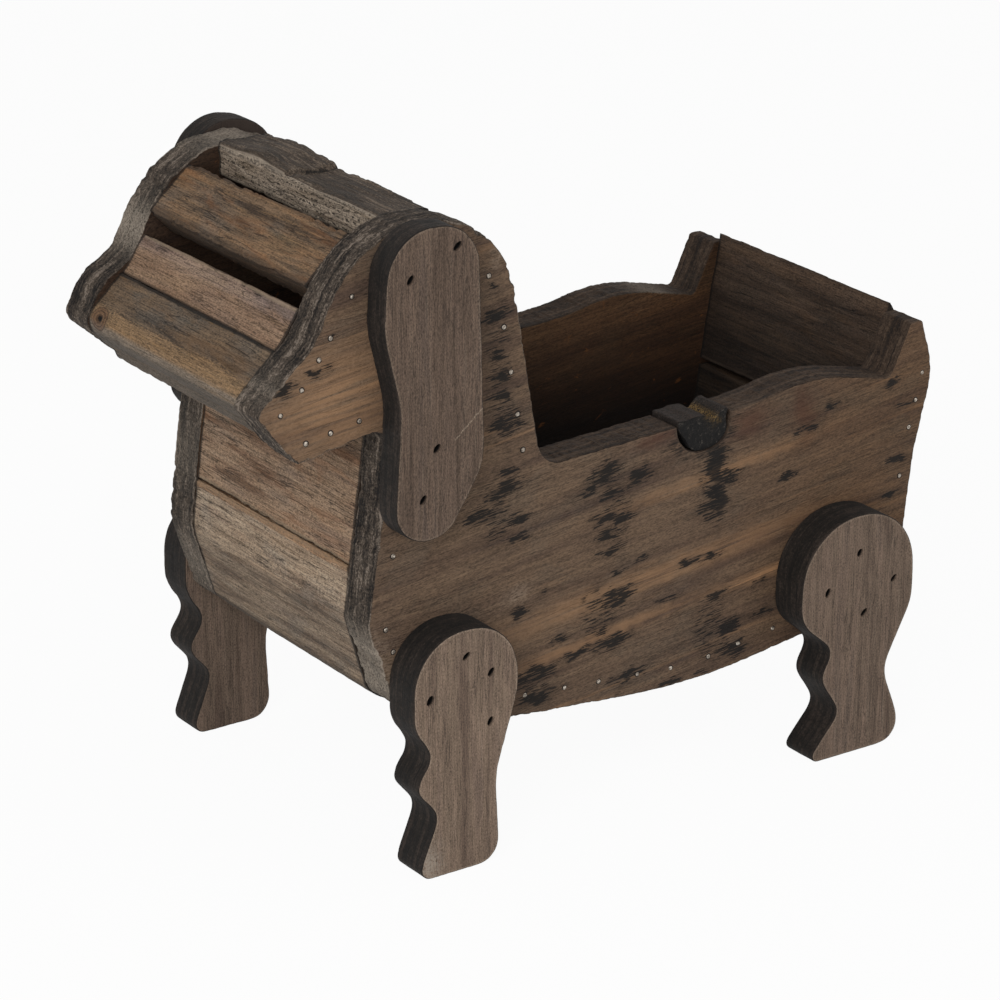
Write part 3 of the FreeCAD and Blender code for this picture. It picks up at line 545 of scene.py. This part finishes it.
class Finish:
    """The nodes of one material or of the sky, and the patterns that wood finishes share."""

    def __init__(self, owner):
        owner.use_nodes = True
        self.owner, self.tree, self.colour = owner, owner.node_tree, None
        self.tree.nodes.clear()

    def add(self, kind, sockets, out=0, **settings):
        """A node of a kind, with its settings and its sockets' values or links; gives one output."""
        node = self.tree.nodes.new("ShaderNode" + kind)
        for key, setting in settings.items():
            if key == "stops":
                ramp = node.color_ramp.elements
                while len(ramp) < len(setting):
                    ramp.new(0.5)
                for element, (place, colour) in zip(ramp, setting):
                    element.position, element.color = place, linear(colour)
            else:
                setattr(node, key, setting)
        for key, value in sockets.items():
            if isinstance(value, Value):
                self.tree.links.new(value.socket, node.inputs[key])
            else:
                node.inputs[key].default_value = value
        return Value(self, node.outputs[out]) if node.outputs else None

    def mark(self, name):
        return self.add("Attribute", {}, "Fac", attribute_name=name)

    def place(self):
        """Where a point lies, in metres."""
        return self.add("TexCoord", {}, "Object")

    def axes(self, vector, names):
        """The named coordinates of a vector."""
        return [self.add("SeparateXYZ", {0: vector}, name) for name in names]

    def blend(self, share, below, above, way="MIX"):
        below, above = (tone if isinstance(tone, Value) else linear(tone) for tone in (below, above))
        return self.add("Mix", {0: share, 6: below, 7: above}, 2, data_type="RGBA", blend_type=way)

    def paint(self, share, tone, way="MIX"):
        """Lays a share of a tone over the colour so far."""
        self.colour = self.blend(share, self.colour, tone, way)

    def ramp(self, value, *stops):
        return self.add("ValToRGB", {0: value}, stops=stops)

    def even_ramp(self, value, low, high, tones):
        """Tones at equal steps from low to high."""
        return self.ramp(value, *zip(np.linspace(low, high, len(tones)).tolist(), tones))

    def grain(self, vector, detail, distortion):
        return self.add("TexNoise", {"Vector": vector, "Scale": 1.0, "Detail": detail, "Roughness": 0.6,
                                     "Distortion": distortion})

    def speckle(self, along, across, turn=(0, 0, 0), detail=3.0, distortion=0.0, shift=(0, 0, 0)):
        """Noise of the given lengths in mm along and across the grain, which runs along x once turned."""
        turned = self.add("Mapping", {"Vector": self.place(), "Rotation": turn})
        scale = (1 / (along * MM), 1 / (across * MM), 1 / (across * MM))
        fitted = self.add("Mapping", {"Vector": turned, "Scale": scale, "Location": shift})
        return self.grain(fitted, detail, distortion)

    def edge_speckle(self, along, across, detail, distortion):
        """Noise on a sawn edge, of the given lengths in mm along the outline and through the board."""
        run, deep = self.mark("run") * (1 / along), self.mark("deep") * (1 / across)
        flat = self.add("CombineXYZ", {"X": run, "Y": deep, "Z": 0.0})
        return self.grain(flat, detail, distortion)

    def surface(self, rough, height, depth_mm, metallic=0.0):
        """The closing shader: the colour so far, roughness, and a bump of the given depth."""
        bump = self.add("Bump", {"Distance": depth_mm * MM, "Height": height})
        shader = self.add("BsdfPrincipled", {
            "Base Color": self.colour, "Roughness": rough, "Metallic": metallic, "Normal": bump,
            "Specular IOR Level": 0.25})
        self.add("OutputMaterial", {"Surface": shader})
        return self.owner


def new_finish(name):
    return Finish(bpy.data.materials.new(name))


def weathered(wood, turn, tones, lines, grey, shift, band, lined, greyed, fine, grit, cracked):
    """Weathered wood: slow bands of tone along the grain, lines, thin cracks, grey patches, sandy fibres."""
    bands = wood.speckle(*band, turn, 3.0, 0.6, shift)
    streaks = wood.speckle(45, 1.8 * fine, turn, 3.0, 0.3, shift)
    hairs = wood.speckle(16 * fine, 0.6 * fine, turn, 2.0, 0.2, shift)
    sand = wood.speckle(1.7 * fine, 0.75 * fine, turn, 4.0, 0.0, shift)
    clouds = wood.speckle(30, 18, turn, 4.0, 0.4, shift)
    splits = wood.speckle(85, 4, turn, 2.0, 0.2, shift)
    wood.colour = wood.even_ramp(bands, 0.36, 0.64, tones)
    wood.paint(streaks.ease(0.54, 0.72) * lined, lines[0])
    wood.paint((1 - streaks).ease(0.56, 0.74) * lined, lines[1])
    wood.paint(clouds.ease(0.47, 0.66) * greyed, grey)
    thin = (splits - 0.5).peak(75).ease(0.0, 1.0) * clouds.ease(0.42, 0.5) * hairs.ease(0.38, 0.5)
    wood.paint(thin * cracked, "#1a1410")
    shade = wood.ramp(hairs * 0.4 + sand * 0.6, (0.37, "#626262"), (0.5, "#d2d2d2"), (0.61, "#ffffff"))
    wood.paint(grit, shade, "MULTIPLY")
    height = streaks * 0.3 + hairs * 0.5 + sand * 0.6 - thin * cracked
    return height, streaks, sand, shade


def rough_sawn(wood, tones):
    """Rough-sawn edge: rings and short cracks along the outline, grit and blunt pits, slow patches."""
    torn = wood.edge_speckle(48, 2.6, 4.0, 0.8)
    fuzz = wood.speckle(1.0, 0.9, detail=4.0)
    pits = wood.speckle(3.0, 2.2, distortion=0.6)
    clouds = wood.speckle(22, 15)
    cracks = wood.edge_speckle(34, 1.4, 2.0, 0.6).ease(0.6, 0.68)
    colour = wood.even_ramp(torn * 0.36 + fuzz * 0.26 + pits * 0.2 + clouds * 0.18, 0.43, 0.58, tones)
    height = torn * 0.2 + fuzz * 0.5 + pits * 0.6 - cracks * 0.4
    return wood.blend(cracks * 0.5, colour, "#0e0b0a"), height, fuzz


def side_board_finish(name, shift):
    """Brown side board: rising tan streaks, feathered black stains, dark sawn edges, painted shade on the
    inner face.
    """
    wood = new_finish(name)
    turn = (0, GRAIN_RISE, 0)
    height, streaks, sand, _ = weathered(
        wood, turn, ("#57453a", "#645041", "#6d5847", "#755f4c", "#695545"), ("#493a2e", "#8f7760"),
        "#66594c", shift, band=(170, 12), lined=0.3, greyed=0.35, fine=0.9, grit=0.7, cracked=0.4)
    tan = wood.mark("tan") + wood.speckle(150, 6, turn, 3.0, 0.4, (3.7, 1.1, 0)).ease(0.6, 0.74) * 0.7
    wood.paint(tan * streaks.ease(0.25, 0.6) * 0.6, "#a17c5b")
    wood.paint(wood.mark("red") * 0.6, "#4a2c20")
    pale = wood.mark("pale")
    wood.paint(pale * sand.ease(0.3, 0.7) * 0.5, "#9a8a7a")
    length, height_at = wood.axes(wood.place(), "XZ")
    rear, rearward = length.ease(*BROWN_EDGES), length.ease(*WARM_FACES)
    wood.paint(rearward, "#f4eade", "MULTIPLY")

    spot, inside = wood.mark("stain"), wood.mark("inside")
    outside = 1 - inside
    dash = wood.speckle(9, 0.8, turn, 2.0, 0.4, shift)
    blot = wood.speckle(5, 1.6, turn, 3.0, 0.8, shift)
    stained = (spot * 1.35 + dash.about(4.2) + blot.about(1.5)).ease(0.55, 0.9) * spot.ease(0.05, 0.35)
    wood.paint(spot * outside * 0.5, "#2b2019")
    wood.paint(stained * outside * 0.93, "#0e0b09")
    charred = (wood.mark("char") * 1.3 + dash.about(2.2) + blot.about(1.0)).ease(0.4, 0.9)
    wood.paint(charred * 0.85, "#100c0a")

    edge = wood.mark("edge")
    grey_edge, sawn_height, fuzz = rough_sawn(wood, ("#120e0c", "#332c26", "#50463d", "#7e7267"))
    brown_edge = rough_sawn(wood, ("#1d1612", "#30251d", "#3f3228", "#524337"))[0]
    sawn = wood.blend(rear, grey_edge, brown_edge)
    sawn = wood.blend(pale * fuzz.ease(0.25, 0.6) * 0.85, sawn, "#968b7e")
    wood.paint((edge + sand.about(0.5)).ease(0.25, 0.6), sawn)
    worn = (wood.mark("rim") * (1 - edge) + dash.about(0.8)).ease(0.6, 1.0)
    wood.paint(worn * 0.35, "#8f7c69")

    # Painted shade on the inner face: darkest at the bottom, lightest a little below the top
    painted_inner_shade = wood.ramp((height_at - INNER_SHADE_FROM) * 10, (0.02, "#463a31"), (0.21, "#8b7a6c"), (0.37, "#cbb8a4"),
                     (0.52, "#f8e5ce"), (0.62, "#e0cfbb"), (0.85, "#988a80"))
    wood.paint(inside, painted_inner_shade, "MULTIPLY")
    resin = wood.speckle(9, 5, turn, 3.0, 0.8, (1.5, 0.4, 3.3)).ease(0.66, 0.74) * inside
    wood.paint(resin * 0.5, "#7a4c26")
    rough = 0.74 + streaks * 0.15 + edge * 0.08
    relief = height * (1 - edge) * 0.6 + sawn_height * edge * (1 - rear * 0.6)
    return wood.surface(rough, relief, 0.9)


def limb_finish(name, tones, lines, shift, scratch=0.0, dark_back=0.0):
    """Greige limb wood: fine upright grain, worn pale rims, nearly black edges and brad slots, a scratch."""
    wood = new_finish(name)
    height, streaks, sand, _ = weathered(
        wood, (0, math.pi / 2, 0), tones, lines, tones[0], shift, band=(140, 8), lined=0.3, greyed=0.3,
        fine=0.6, grit=0.85, cracked=0.55)
    turned = wood.add("Mapping", {"Vector": wood.place(), "Location": SCRATCH,
                                  "Rotation": (0, -SCRATCH_RISE, 0)}, vector_type="TEXTURE")
    along, depth, across = wood.axes(turned, "XYZ")
    line = (across + streaks.about(0.0016)).peak(SCRATCH_THIN).ease(0.0, 1.0) * sand.ease(0.35, 0.6)
    line = line * along.peak(SCRATCH_SHORT).ease(0.0, 0.2) * (0.02 - depth).ease(0.0, 0.01)
    wood.paint(line * scratch, "#ab9a87")
    edge = wood.mark("edge")
    sawn, sawn_height, fuzz = rough_sawn(wood, ("#100d0b", "#1a1613", "#241e1a", "#352d28"))
    wood.paint((edge + sand.about(0.3)).ease(0.25, 0.6), sawn)
    worn = (wood.mark("rim") * (1 - edge) + sand.about(0.9)).ease(0.5, 0.95)
    wood.paint(worn * 0.6, lines[1])
    wood.paint(wood.mark("pale") * (1 - edge) * fuzz.ease(0.33, 0.55) * 0.6, "#a89d90")
    wood.paint(wood.mark("inside") * dark_back, "#2b231f")
    wood.paint(wood.mark("pit").ease(0.1, 0.6), "#050404")
    rough = 0.68 + streaks * 0.15 + edge * 0.08
    return wood.surface(rough, height * (1 - edge) * 0.45 + sawn_height * edge * 0.6, 0.7)


def slat_finish(name, tones, lines, grey, shift, top=False, lined=0.45, greyed=0.3, pits=0.0,
                depth=0.7, worn="#94826c", amber="#8d6843", ambered=0.35, under="#2a211b", accents=()):
    """Slat wood: grain and saw marks across the dog, corners pale with wear on most slats and dark with
    painted shade on the brow and tail board, painted shade on the undersides and ends, rows of pits in open
    timber.

    An accent is a mark, its values where a tone begins and is full, its fraying, the tone, and its share.
    """
    wood = new_finish(name)
    turn = (0, 0, math.pi / 2)
    height, streaks, sand, shade = weathered(
        wood, turn, tones, lines, grey, shift, band=(90, 9), lined=lined, greyed=greyed,
        fine=0.8, grit=0.9, cracked=0.75)
    warm = wood.speckle(42, 8, turn, 4.0, 0.6, (shift[1], 6.1, shift[0]))
    wood.paint(warm.ease(0.48, 0.68) * ambered, amber)
    fraying = streaks.about(0.35) + sand.about(0.2)
    for mark, begin, full, fray, tone, share in accents:
        gritty = wood.blend(0.9, tone, shade, "MULTIPLY")
        wood.paint((wood.mark(mark) + fraying * fray).ease(begin, full) * share, gritty)
    saw_marks = wood.speckle(0.8, 9, turn, 2.0, 0.3, shift)
    wood.paint(saw_marks.ease(0.56, 0.72) * 0.28, lines[0])
    upward = (wood.mark("upward") + fraying * 2).ease(0.3, 0.7) if top else 0.0
    rows = (wood.mark("girth") * (2 * math.pi / PIT_ROWS)).sine().ease(-0.2, 0.5)
    dots = wood.speckle(1.5, 1.2, turn, 1.0, 0.0, (5.3, 2.2, 1.7)).ease(0.52, 0.6)
    dots = dots * rows * (1 - upward) * pits
    wood.paint(dots, "#15110f")
    # Corners take the worn tone: pale wear on most slats, painted shade on the brow and the tail board, whose
    # worn tones are dark
    corner_wear_and_shade = (wood.mark("corner") + streaks.about(1.6)).ease(0.45, 1.0)
    wood.paint(corner_wear_and_shade * 0.5, worn)
    if top:
        skin = wood.ramp(streaks * 0.45 + sand * 0.35 + warm * 0.2,
                         (0.42, "#120e0b"), (0.48, "#2d231c"), (0.53, "#463a30"), (0.61, "#7a6c5e"))
        wood.paint(upward * 0.9, skin)
        [across] = wood.axes(wood.place(), "Y")
        split = (across * 1000 - CROWN_SPLIT + warm.about(12)).peak(0.7).ease(0.0, 1.0) * upward
        wood.paint(split * 0.9, "#0d0a08")
    # Painted shade on the downward faces, in the under tone
    wood.paint(wood.mark("under") * 0.75, wood.blend(0.9, under, shade, "MULTIPLY"))
    eye = wood.mark("eye")
    frayed = eye + fraying * 0.3
    wood.paint(eye.ease(0.15, 0.5) * 0.6, "#5a3d2b")
    wood.paint((frayed * 24).sine().ease(0.1, 0.9) * eye.ease(0.1, 0.3) * 0.6, "#2a1c14")
    wood.paint(frayed.ease(0.86, 0.95), "#070504")
    # Painted shade at both ends, where the slat meets the side boards
    wood.paint((wood.mark("tip") + fraying).ease(0.25, 0.6) * 0.85, "#120e0b")
    return wood.surface(0.7 + streaks * 0.15, height - dots * 0.8 + saw_marks * 0.3, depth)


def knot_finish(name):
    """Dead knot: dark grey heartwood with specks and cracks, pinkish ridges, yellow fibre on top."""
    wood = new_finish(name)
    grainy = wood.speckle(2.2, 2.2, detail=4.0, distortion=0.5)
    sand = wood.speckle(0.7, 0.7)
    cracks = wood.speckle(9, 1.0, (0, math.pi / 2, 0), 3.0, 1.2)
    wood.colour = wood.ramp(grainy * 0.6 + sand * 0.4, (0.4, "#050404"), (0.5, "#0f0d0c"),
                            (0.57, "#1f1c1a"), (0.66, "#5a544e"))
    wood.paint((1 - cracks).ease(0.6, 0.7) * 0.85, "#080605")
    ridge = wood.ramp(sand, (0.38, "#17120f"), (0.6, "#3c3029"))
    wood.paint(wood.mark("edge") * wood.mark("high"), ridge)
    wood.paint(wood.mark("fibre") * sand.ease(0.42, 0.58) * 0.8, "#a5834c")
    return wood.surface(0.75 + grainy * 0.15, grainy + cracks * 0.5 + sand * 0.5, 1.0)


def nail_finish(name):
    """Dull zinc nail heads with a ring of black stained wood."""
    finish = new_finish(name)
    worn = finish.speckle(0.9, 0.9)
    steel = finish.mark("steel").ease(0.3, 0.7)
    metal = finish.ramp(worn, (0.35, "#5d554c"), (0.5, "#8f857a"), (0.65, "#c9c0b4"))
    finish.colour = finish.blend(steel, "#120d0a", metal)
    return finish.surface(0.8 - steel * 0.4 + worn * 0.1, worn, 0.1, steel * 0.7)


def brad_finish(name):
    """Rusted black brads, deep in their holes."""
    finish = new_finish(name)
    worn = finish.speckle(0.9, 0.9)
    finish.colour = finish.ramp(worn, (0.35, "#0c0a09"), (0.6, "#2a211c"))
    return finish.surface(0.6 + worn * 0.2, worn, 0.1, 0.6)


def crown_swell(x, y):
    """The crown slat's waney top: a swell over its far third that ends at a split, and waves."""
    step = y - 7 - 2.5 * noise(x / 7, y / 30, 0, 72)
    swollen = 2.6 * np.exp(-((y - 33) / 19) ** 2) + 1.2 * smooth(step / 1.2)
    swollen = swollen - 0.8 * np.exp(-((step + 0.8) / 1.6) ** 2)
    return swollen - 0.4 + 0.5 * noise(x / 14, y / 17, 0, 71) + 0.35 * noise(x / 3, y / 11, 0, 73)


def knot_trim(x, z):
    """The knot's outline, squeezed in low on the left and high on the right where it is loose, split on top.

    Places move in x by two bells, and down by a drop that grows from nothing at mid height to full on top.
    """
    along = (x - x.min()) / np.ptp(x)
    up = (z - z.min()) / np.ptp(z)
    loose = np.exp(-((along - 0.1) / 0.22) ** 2 - ((up - 0.38) / 0.3) ** 2)
    open_end = np.exp(-((along - 1) / 0.12) ** 2 - ((up - 0.72) / 0.3) ** 2)
    split = np.exp(-((along - 0.66) / 0.1) ** 2)
    drop = 3.0 + 3.0 * split - 1.4 * smooth((along - 0.75) / 0.12) + 0.5 * noise(x / 3, 0, 0, 61)
    return np.column_stack([x + 3.0 * loose - 2.6 * open_end, z - drop * np.clip((up - 0.35) / 0.65, 0, 1)])


def leg_trim(x, z):
    """A leg's outline with rounder scallops and a rounded heel; the sole and the toe stay.

    The outline is smoothed, and each place then moves on by half its distance from a far smoother outline.
    """
    places = np.column_stack([x, z])
    soft = softened(places, 22)
    fuller = soft + 0.5 * (soft - softened(soft, 40))
    rise = z - z.min()
    heel = np.exp(-((x - x[rise < 6].max()) ** 2 + rise ** 2) / 140)
    shaped = places + smooth((rise - 5) / 9)[:, None] * (fuller - places)
    return shaped + heel[:, None] * (softened(places, 70) - places)


def dress_boards():
    """The side boards, the knot, the legs and the ears."""
    side_wood = side_board_finish("side_board_wood", (0, 0, 0))
    far_wood = side_board_finish("far_side_board_wood", (2.3, 1.4, 0))
    leg_wood = limb_finish("leg_wood", ("#725f52", "#826e5f", "#8a7665", "#937d6c", "#857163"),
                           ("#5c4d43", "#a99785"), (0, 0, 0))
    dark_leg_wood = limb_finish("dark_leg_wood", ("#68564a", "#766456", "#7e6b5c", "#867162", "#79675a"),
                                ("#54463d", "#9a8978"), (1, 3, 2))
    ear_wood = limb_finish("ear_wood", ("#5f4e42", "#69574a", "#6f5c4f", "#746153", "#68574c"),
                           ("#483d32", "#897969"), (3, 1, 2), scratch=0.6, dark_back=0.85)
    sawn_board("left_side", "left_side_board", -SIDE_OUTER, -SIDE_INNER, side_wood, "side_board_wood",
               jag=0.7, edge_r=1.0, spacing=1.7, seed=11,
               spots={"stain": (STAINS, STAIN_COLUMNS), "pale": (PALE_LEFT, FAINT_LEFT), "red": (REDDISH,),
                      "tan": (TAN,), "char": (CHARRED,)})
    far_stains = [np.multiply(spots, (-1, 1, 1, 1)) + (30, 0, 0, 0) for spots in (STAINS, STAIN_COLUMNS)]
    sawn_board("right_side", "right_side_board", SIDE_OUTER, SIDE_INNER, far_wood, "side_board_wood",
               jag=0.7, edge_r=1.0, spacing=2.4, seed=47,
               spots={"stain": far_stains, "pale": (PALE_RIGHT, FAINT_RIGHT)})
    sawn_board("rim_knot", "left_rim_knot", -SIDE_OUTER, -SIDE_INNER, knot_finish("knot_wood"), "knot_wood",
               jag=0.45, edge_r=0.6, spacing=0.9, seed=5, wave=1.6, trim=knot_trim,
               spots={"high": (KNOT_RIDGE,), "fibre": (KNOT_FIBRE,)})
    seed = 100
    for limb, outer in (("front_leg", LEG_OUTER), ("rear_leg", LEG_OUTER), ("ear", EAR_OUTER)):
        for side, sign in (("left", -1), ("right", 1)):
            node = f"{side}_{limb}"
            wood, trim, spots = (ear_wood, None, None) if limb == "ear" else (dark_leg_wood, leg_trim, None)
            if node == "left_front_leg":
                low = np.array(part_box(node)[0]) / MM
                toe = (low[0] + 8, low[2] + 6, 6, 11)
                wood, spots = leg_wood, {"pale": ([toe],)}
            holes = head_middles(node + "_brads", sign * (outer - BRAD_SINK))
            sawn_board(f"{node}_board", node, sign * outer, sign * SIDE_OUTER, wood, "limb_wood",
                       jag=0.15, edge_r=0.9, spacing=1.8, seed=seed, wave=0.15, holes=holes, spots=spots,
                       trim=trim)
            seed += 20


def dress_slats():
    """The boards across the head, the chest, the rear and the bottom."""
    nose = slat_finish(
        "nose_wood", ("#4a3e33", "#675748", "#766351", "#806a54", "#6e6051"), ("#332820", "#9c815f"),
        "#6c645b", (0, 0, 0), lined=0.5, greyed=0.6, worn="#a07d54", ambered=0.25, under="#5d544b",
        accents=(
            ("fore", 0.8, 0.92, 0.9, "#ae8c66", 0.6), ("high", 0.48, 0.38, 0.1, "#8f8478", 0.75),
            # The seam accent paints shade into the closed seam with the bridge
            ("seam", 0.5, 0.75, 0.35, PAINTED_SHADE_BLACK, 0.9)))
    bridge = slat_finish(
        "bridge_wood", ("#6f5d50", "#91786a", "#a48b79", "#ad937d", "#99816d"), ("#43352b", "#b19883"),
        "#90807a", (2.7, 1.2, 0.5), lined=0.4, greyed=0.45, ambered=0.15,
        # The seam accent paints shade into the closed seam with the nose
        accents=(("fore", 0.62, 0.74, 0.5, "#9c7a5a", 0.5), ("seam", 0.6, 0.9, 0.35, PAINTED_SHADE_BLACK, 0.8)))
    # The brow's worn tone and fore accent are dark: painted shade on its corners and its lower front edge
    brow = slat_finish(
        "brow_wood", ("#534233", "#745e49", "#886f57", "#947558", "#7b664e"), ("#2e231b", "#a7845f"),
        "#81756a", (1.7, 0.4, 2.0), lined=0.6, greyed=0.4, pits=0.1, worn="#4c3d30", amber="#94623a",
        accents=(("fore", 0.9, 0.99, 0.6, "#4a3a2d", 0.6),))
    crown = slat_finish(
        "crown_wood", ("#82725f", "#a99886", "#c2b19d", "#b6a592", "#9e8d79"), ("#383029", "#cabcad"),
        "#948a7e", (4.0, 2.0, 1.0), top=True, lined=0.55, pits=0.78, depth=0.9, worn="#9a8e80", ambered=0.05)
    # The upper chest's high accent darkens its lowest edge: painted shadow in the seam above the lower chest
    chest = slat_finish(
        "upper_chest_wood", ("#7f634d", "#997b64", "#ab8d72", "#b1947a", "#9b806b"), ("#503c2e", "#c4aa90"),
        "#9b8a7a", (0.3, 5.0, 1.0), lined=0.5, greyed=0.25, pits=0.1, amber="#9a6a48", ambered=0.3,
        accents=(("high", 0.07, 0.02, 0.15, "#2a1d15", 0.8),))
    # The lower chest's high accent is its top lip: orange splintered wood with a painted highlight
    breast = slat_finish(
        "lower_chest_wood", ("#8f7966", "#a9927c", "#bda58c", "#c4ad94", "#ae9782"), ("#574839", "#d6c4ab"),
        "#aaa093", (7.3, 1.0, 3.0), lined=0.6, greyed=0.35, pits=0.2, ambered=0.12,
        accents=(("high", 0.955, 0.98, 0.12, "#b58257", 0.75),))
    # The tail board's dark worn tone is painted shade on its corners, and its shaded accent paints shade low
    # on its inner face
    tail = slat_finish(
        "tail_wood", ("#3d2f25", "#4b3b2f", "#534236", "#574638", "#49392d"), ("#221a15", "#6e5a49"),
        "#52453a", (1.2, 3.6, 2.0), lined=0.5, greyed=0.4, pits=0.15, worn="#463a31", ambered=0.1,
        accents=(("high", 0.82, 0.95, 0.3, "#715a48", 0.4), ("shaded", 0.1, 0.85, 0.4, "#130e0b", 0.7)))
    # The facing accent paints shade on faces turned towards the head, mostly the rear board's inner face
    dim = slat_finish(
        "inner_wood", ("#251c16", "#33281f", "#403329", "#4a3b2f", "#382c23"), ("#18120d", "#5d4e40"),
        "#40382f", (2.2, 0.6, 4.0), lined=0.4, greyed=0.25, worn="#33281f", ambered=0.1,
        accents=(("facing", 0.2, 0.8, 0.2, PAINTED_SHADE_BLACK, 0.45),))
    for number, (node, finish, slot, chipped, more) in enumerate((
        ("nose_slat", nose, "muzzle_wood", 0.4, {"eye": NOSE_KNOT, "meets": NOSE_SEAM}),
        ("bridge_slat", bridge, "muzzle_wood", 0.5, {"meets": NOSE_SEAM}),
        ("brow_slat", brow, "muzzle_wood", 1.5, {}), ("chin_slat", nose, "muzzle_wood", 0.3, {}),
        ("nape_slat", crown, "crown_wood", 1, {}), ("back_of_head_slat", crown, "crown_wood", 1, {}),
        ("collar_slat", crown, "crown_wood", 1, {}), ("upper_chest_slat", chest, "chest_wood", 0.8, {}),
        ("lower_chest_slat", breast, "chest_wood", 0.5, {"lip": 0.9}),
        ("rear_board", dim, "inner_wood", 0.1, {"meets": TAIL_SEAM}),
        ("tail_board", tail, "inner_wood", 0.3, {"meets": TAIL_SEAM}),
    )):
        plank = node.replace("_slat", "_plank").replace("_board", "_plank")
        slat(plank, node, finish, slot, softness=1, seed=300 + 7 * number, chipped=chipped, **more)
    slat("crown_plank", "crown_slat", crown, "crown_wood", rough=1.5, seed=390, chipped=0.6,
         swell=crown_swell)
    for number in range(1, 7):
        slat(f"bottom_plank_{number}", f"bottom_board_{number}", dim, "inner_wood", step=1.6, rows=60,
             seed=400 + 7 * number)


def dress_fixings():
    """The nail heads, and rust on the brads."""
    zinc, rust = nail_finish("nail_steel"), brad_finish("brad_steel")
    for side, sign in (("left", -1), ("right", 1)):
        for group in ("head", "body"):
            nail_heads(f"{side}_{group}_nail_heads", f"{side}_{group}_nails", sign, zinc, "nail_steel")
        for limb in ("front_leg", "rear_leg", "ear"):
            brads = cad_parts[f"{side}_{limb}_brads"]
            brads.data.materials.clear()
            brads.data.materials.append(rust)


def rays(finish, *kinds):
    """1 for rays of the given kinds, such as camera rays or those that mirrors and glass send on."""
    found = [finish.add("LightPath", {}, f"Is {kind} Ray") for kind in kinds]
    return reduce(Value.most, found)


def studio():
    """Pale floor that the camera sees nearly white, an even white sky, a broad key light and a fill."""
    seen = ("Camera", "Glossy", "Transmission")
    sky = Finish(bpy.data.worlds.new("sky"))
    bpy.context.scene.world = sky.owner
    strength = 0.4 + rays(sky, *seen) * 0.4 + rays(sky, "Camera") * 0.2
    light = sky.add("Background", {"Color": linear("#ffffff"), "Strength": strength})
    sky.add("OutputWorld", {"Surface": light})

    corners = [(x * FLOOR_REACH, y * FLOOR_REACH, 0) for x, y in ((-1, -1), (1, -1), (1, 1), (-1, 1))]
    floor_mesh = bpy.data.meshes.new("floor")
    floor_mesh.from_pydata(corners, [], [(0, 1, 2, 3)])
    floor = placed("floor", floor_mesh)
    paper = new_finish("floor_paper")
    matt = paper.add("BsdfDiffuse", {"Color": linear("#ececea")})
    white = paper.add("Emission", {})
    mixed = paper.add("MixShader", {0: rays(paper, *seen) * 0.95, 1: matt, 2: white})
    paper.add("OutputMaterial", {"Surface": mixed})
    floor_mesh.materials.append(paper.owner)

    lamps = ("key", (-1.3, -1.1, 1.0), 1.0, 20.0), ("fill", (1.3, -1.6, 1.0), 1.6, 8.0)
    for name, place, size, power in lamps:
        lamp = bpy.data.lights.new(name, "AREA")
        lamp.size, lamp.energy = size, power
        turn_back(placed(name, lamp), np.subtract(place, LIT_MIDDLE), place)


def turn_back(thing, back, place, roll=0.0):
    """Stands a lamp or camera at a place, with its back to the given direction, and rolls it."""
    back = back / np.linalg.norm(back)
    right = np.cross((0, 0, 1), back)
    right /= np.linalg.norm(right)
    up = np.cross(back, right)
    cos, sin = math.cos(roll), math.sin(roll)
    matrix = np.eye(4)
    matrix[:3] = np.column_stack([right * cos + up * sin, up * cos - right * sin, back, place])
    thing.matrix_world = Matrix(matrix.tolist())


def photo_camera():
    """A camera turned 35 degrees round the dog's left flank, 21 above the level, and rolled by a hair."""
    turn, rise, roll = np.radians((-34.98, 21.17, 0.447))
    back = np.array((math.sin(turn) * math.cos(rise), -math.cos(turn) * math.cos(rise), math.sin(rise)))
    data = bpy.data.cameras.new("camera")
    data.sensor_width, data.lens = 36.0, 142.56
    camera = placed("camera", data)
    turn_back(camera, back, (-0.9879, -1.4086, 0.7882), roll)
    bpy.context.scene.camera = camera


dress_boards()
dress_slats()
dress_fixings()
studio()
photo_camera()
bpy.context.scene.view_settings.view_transform = "Standard"
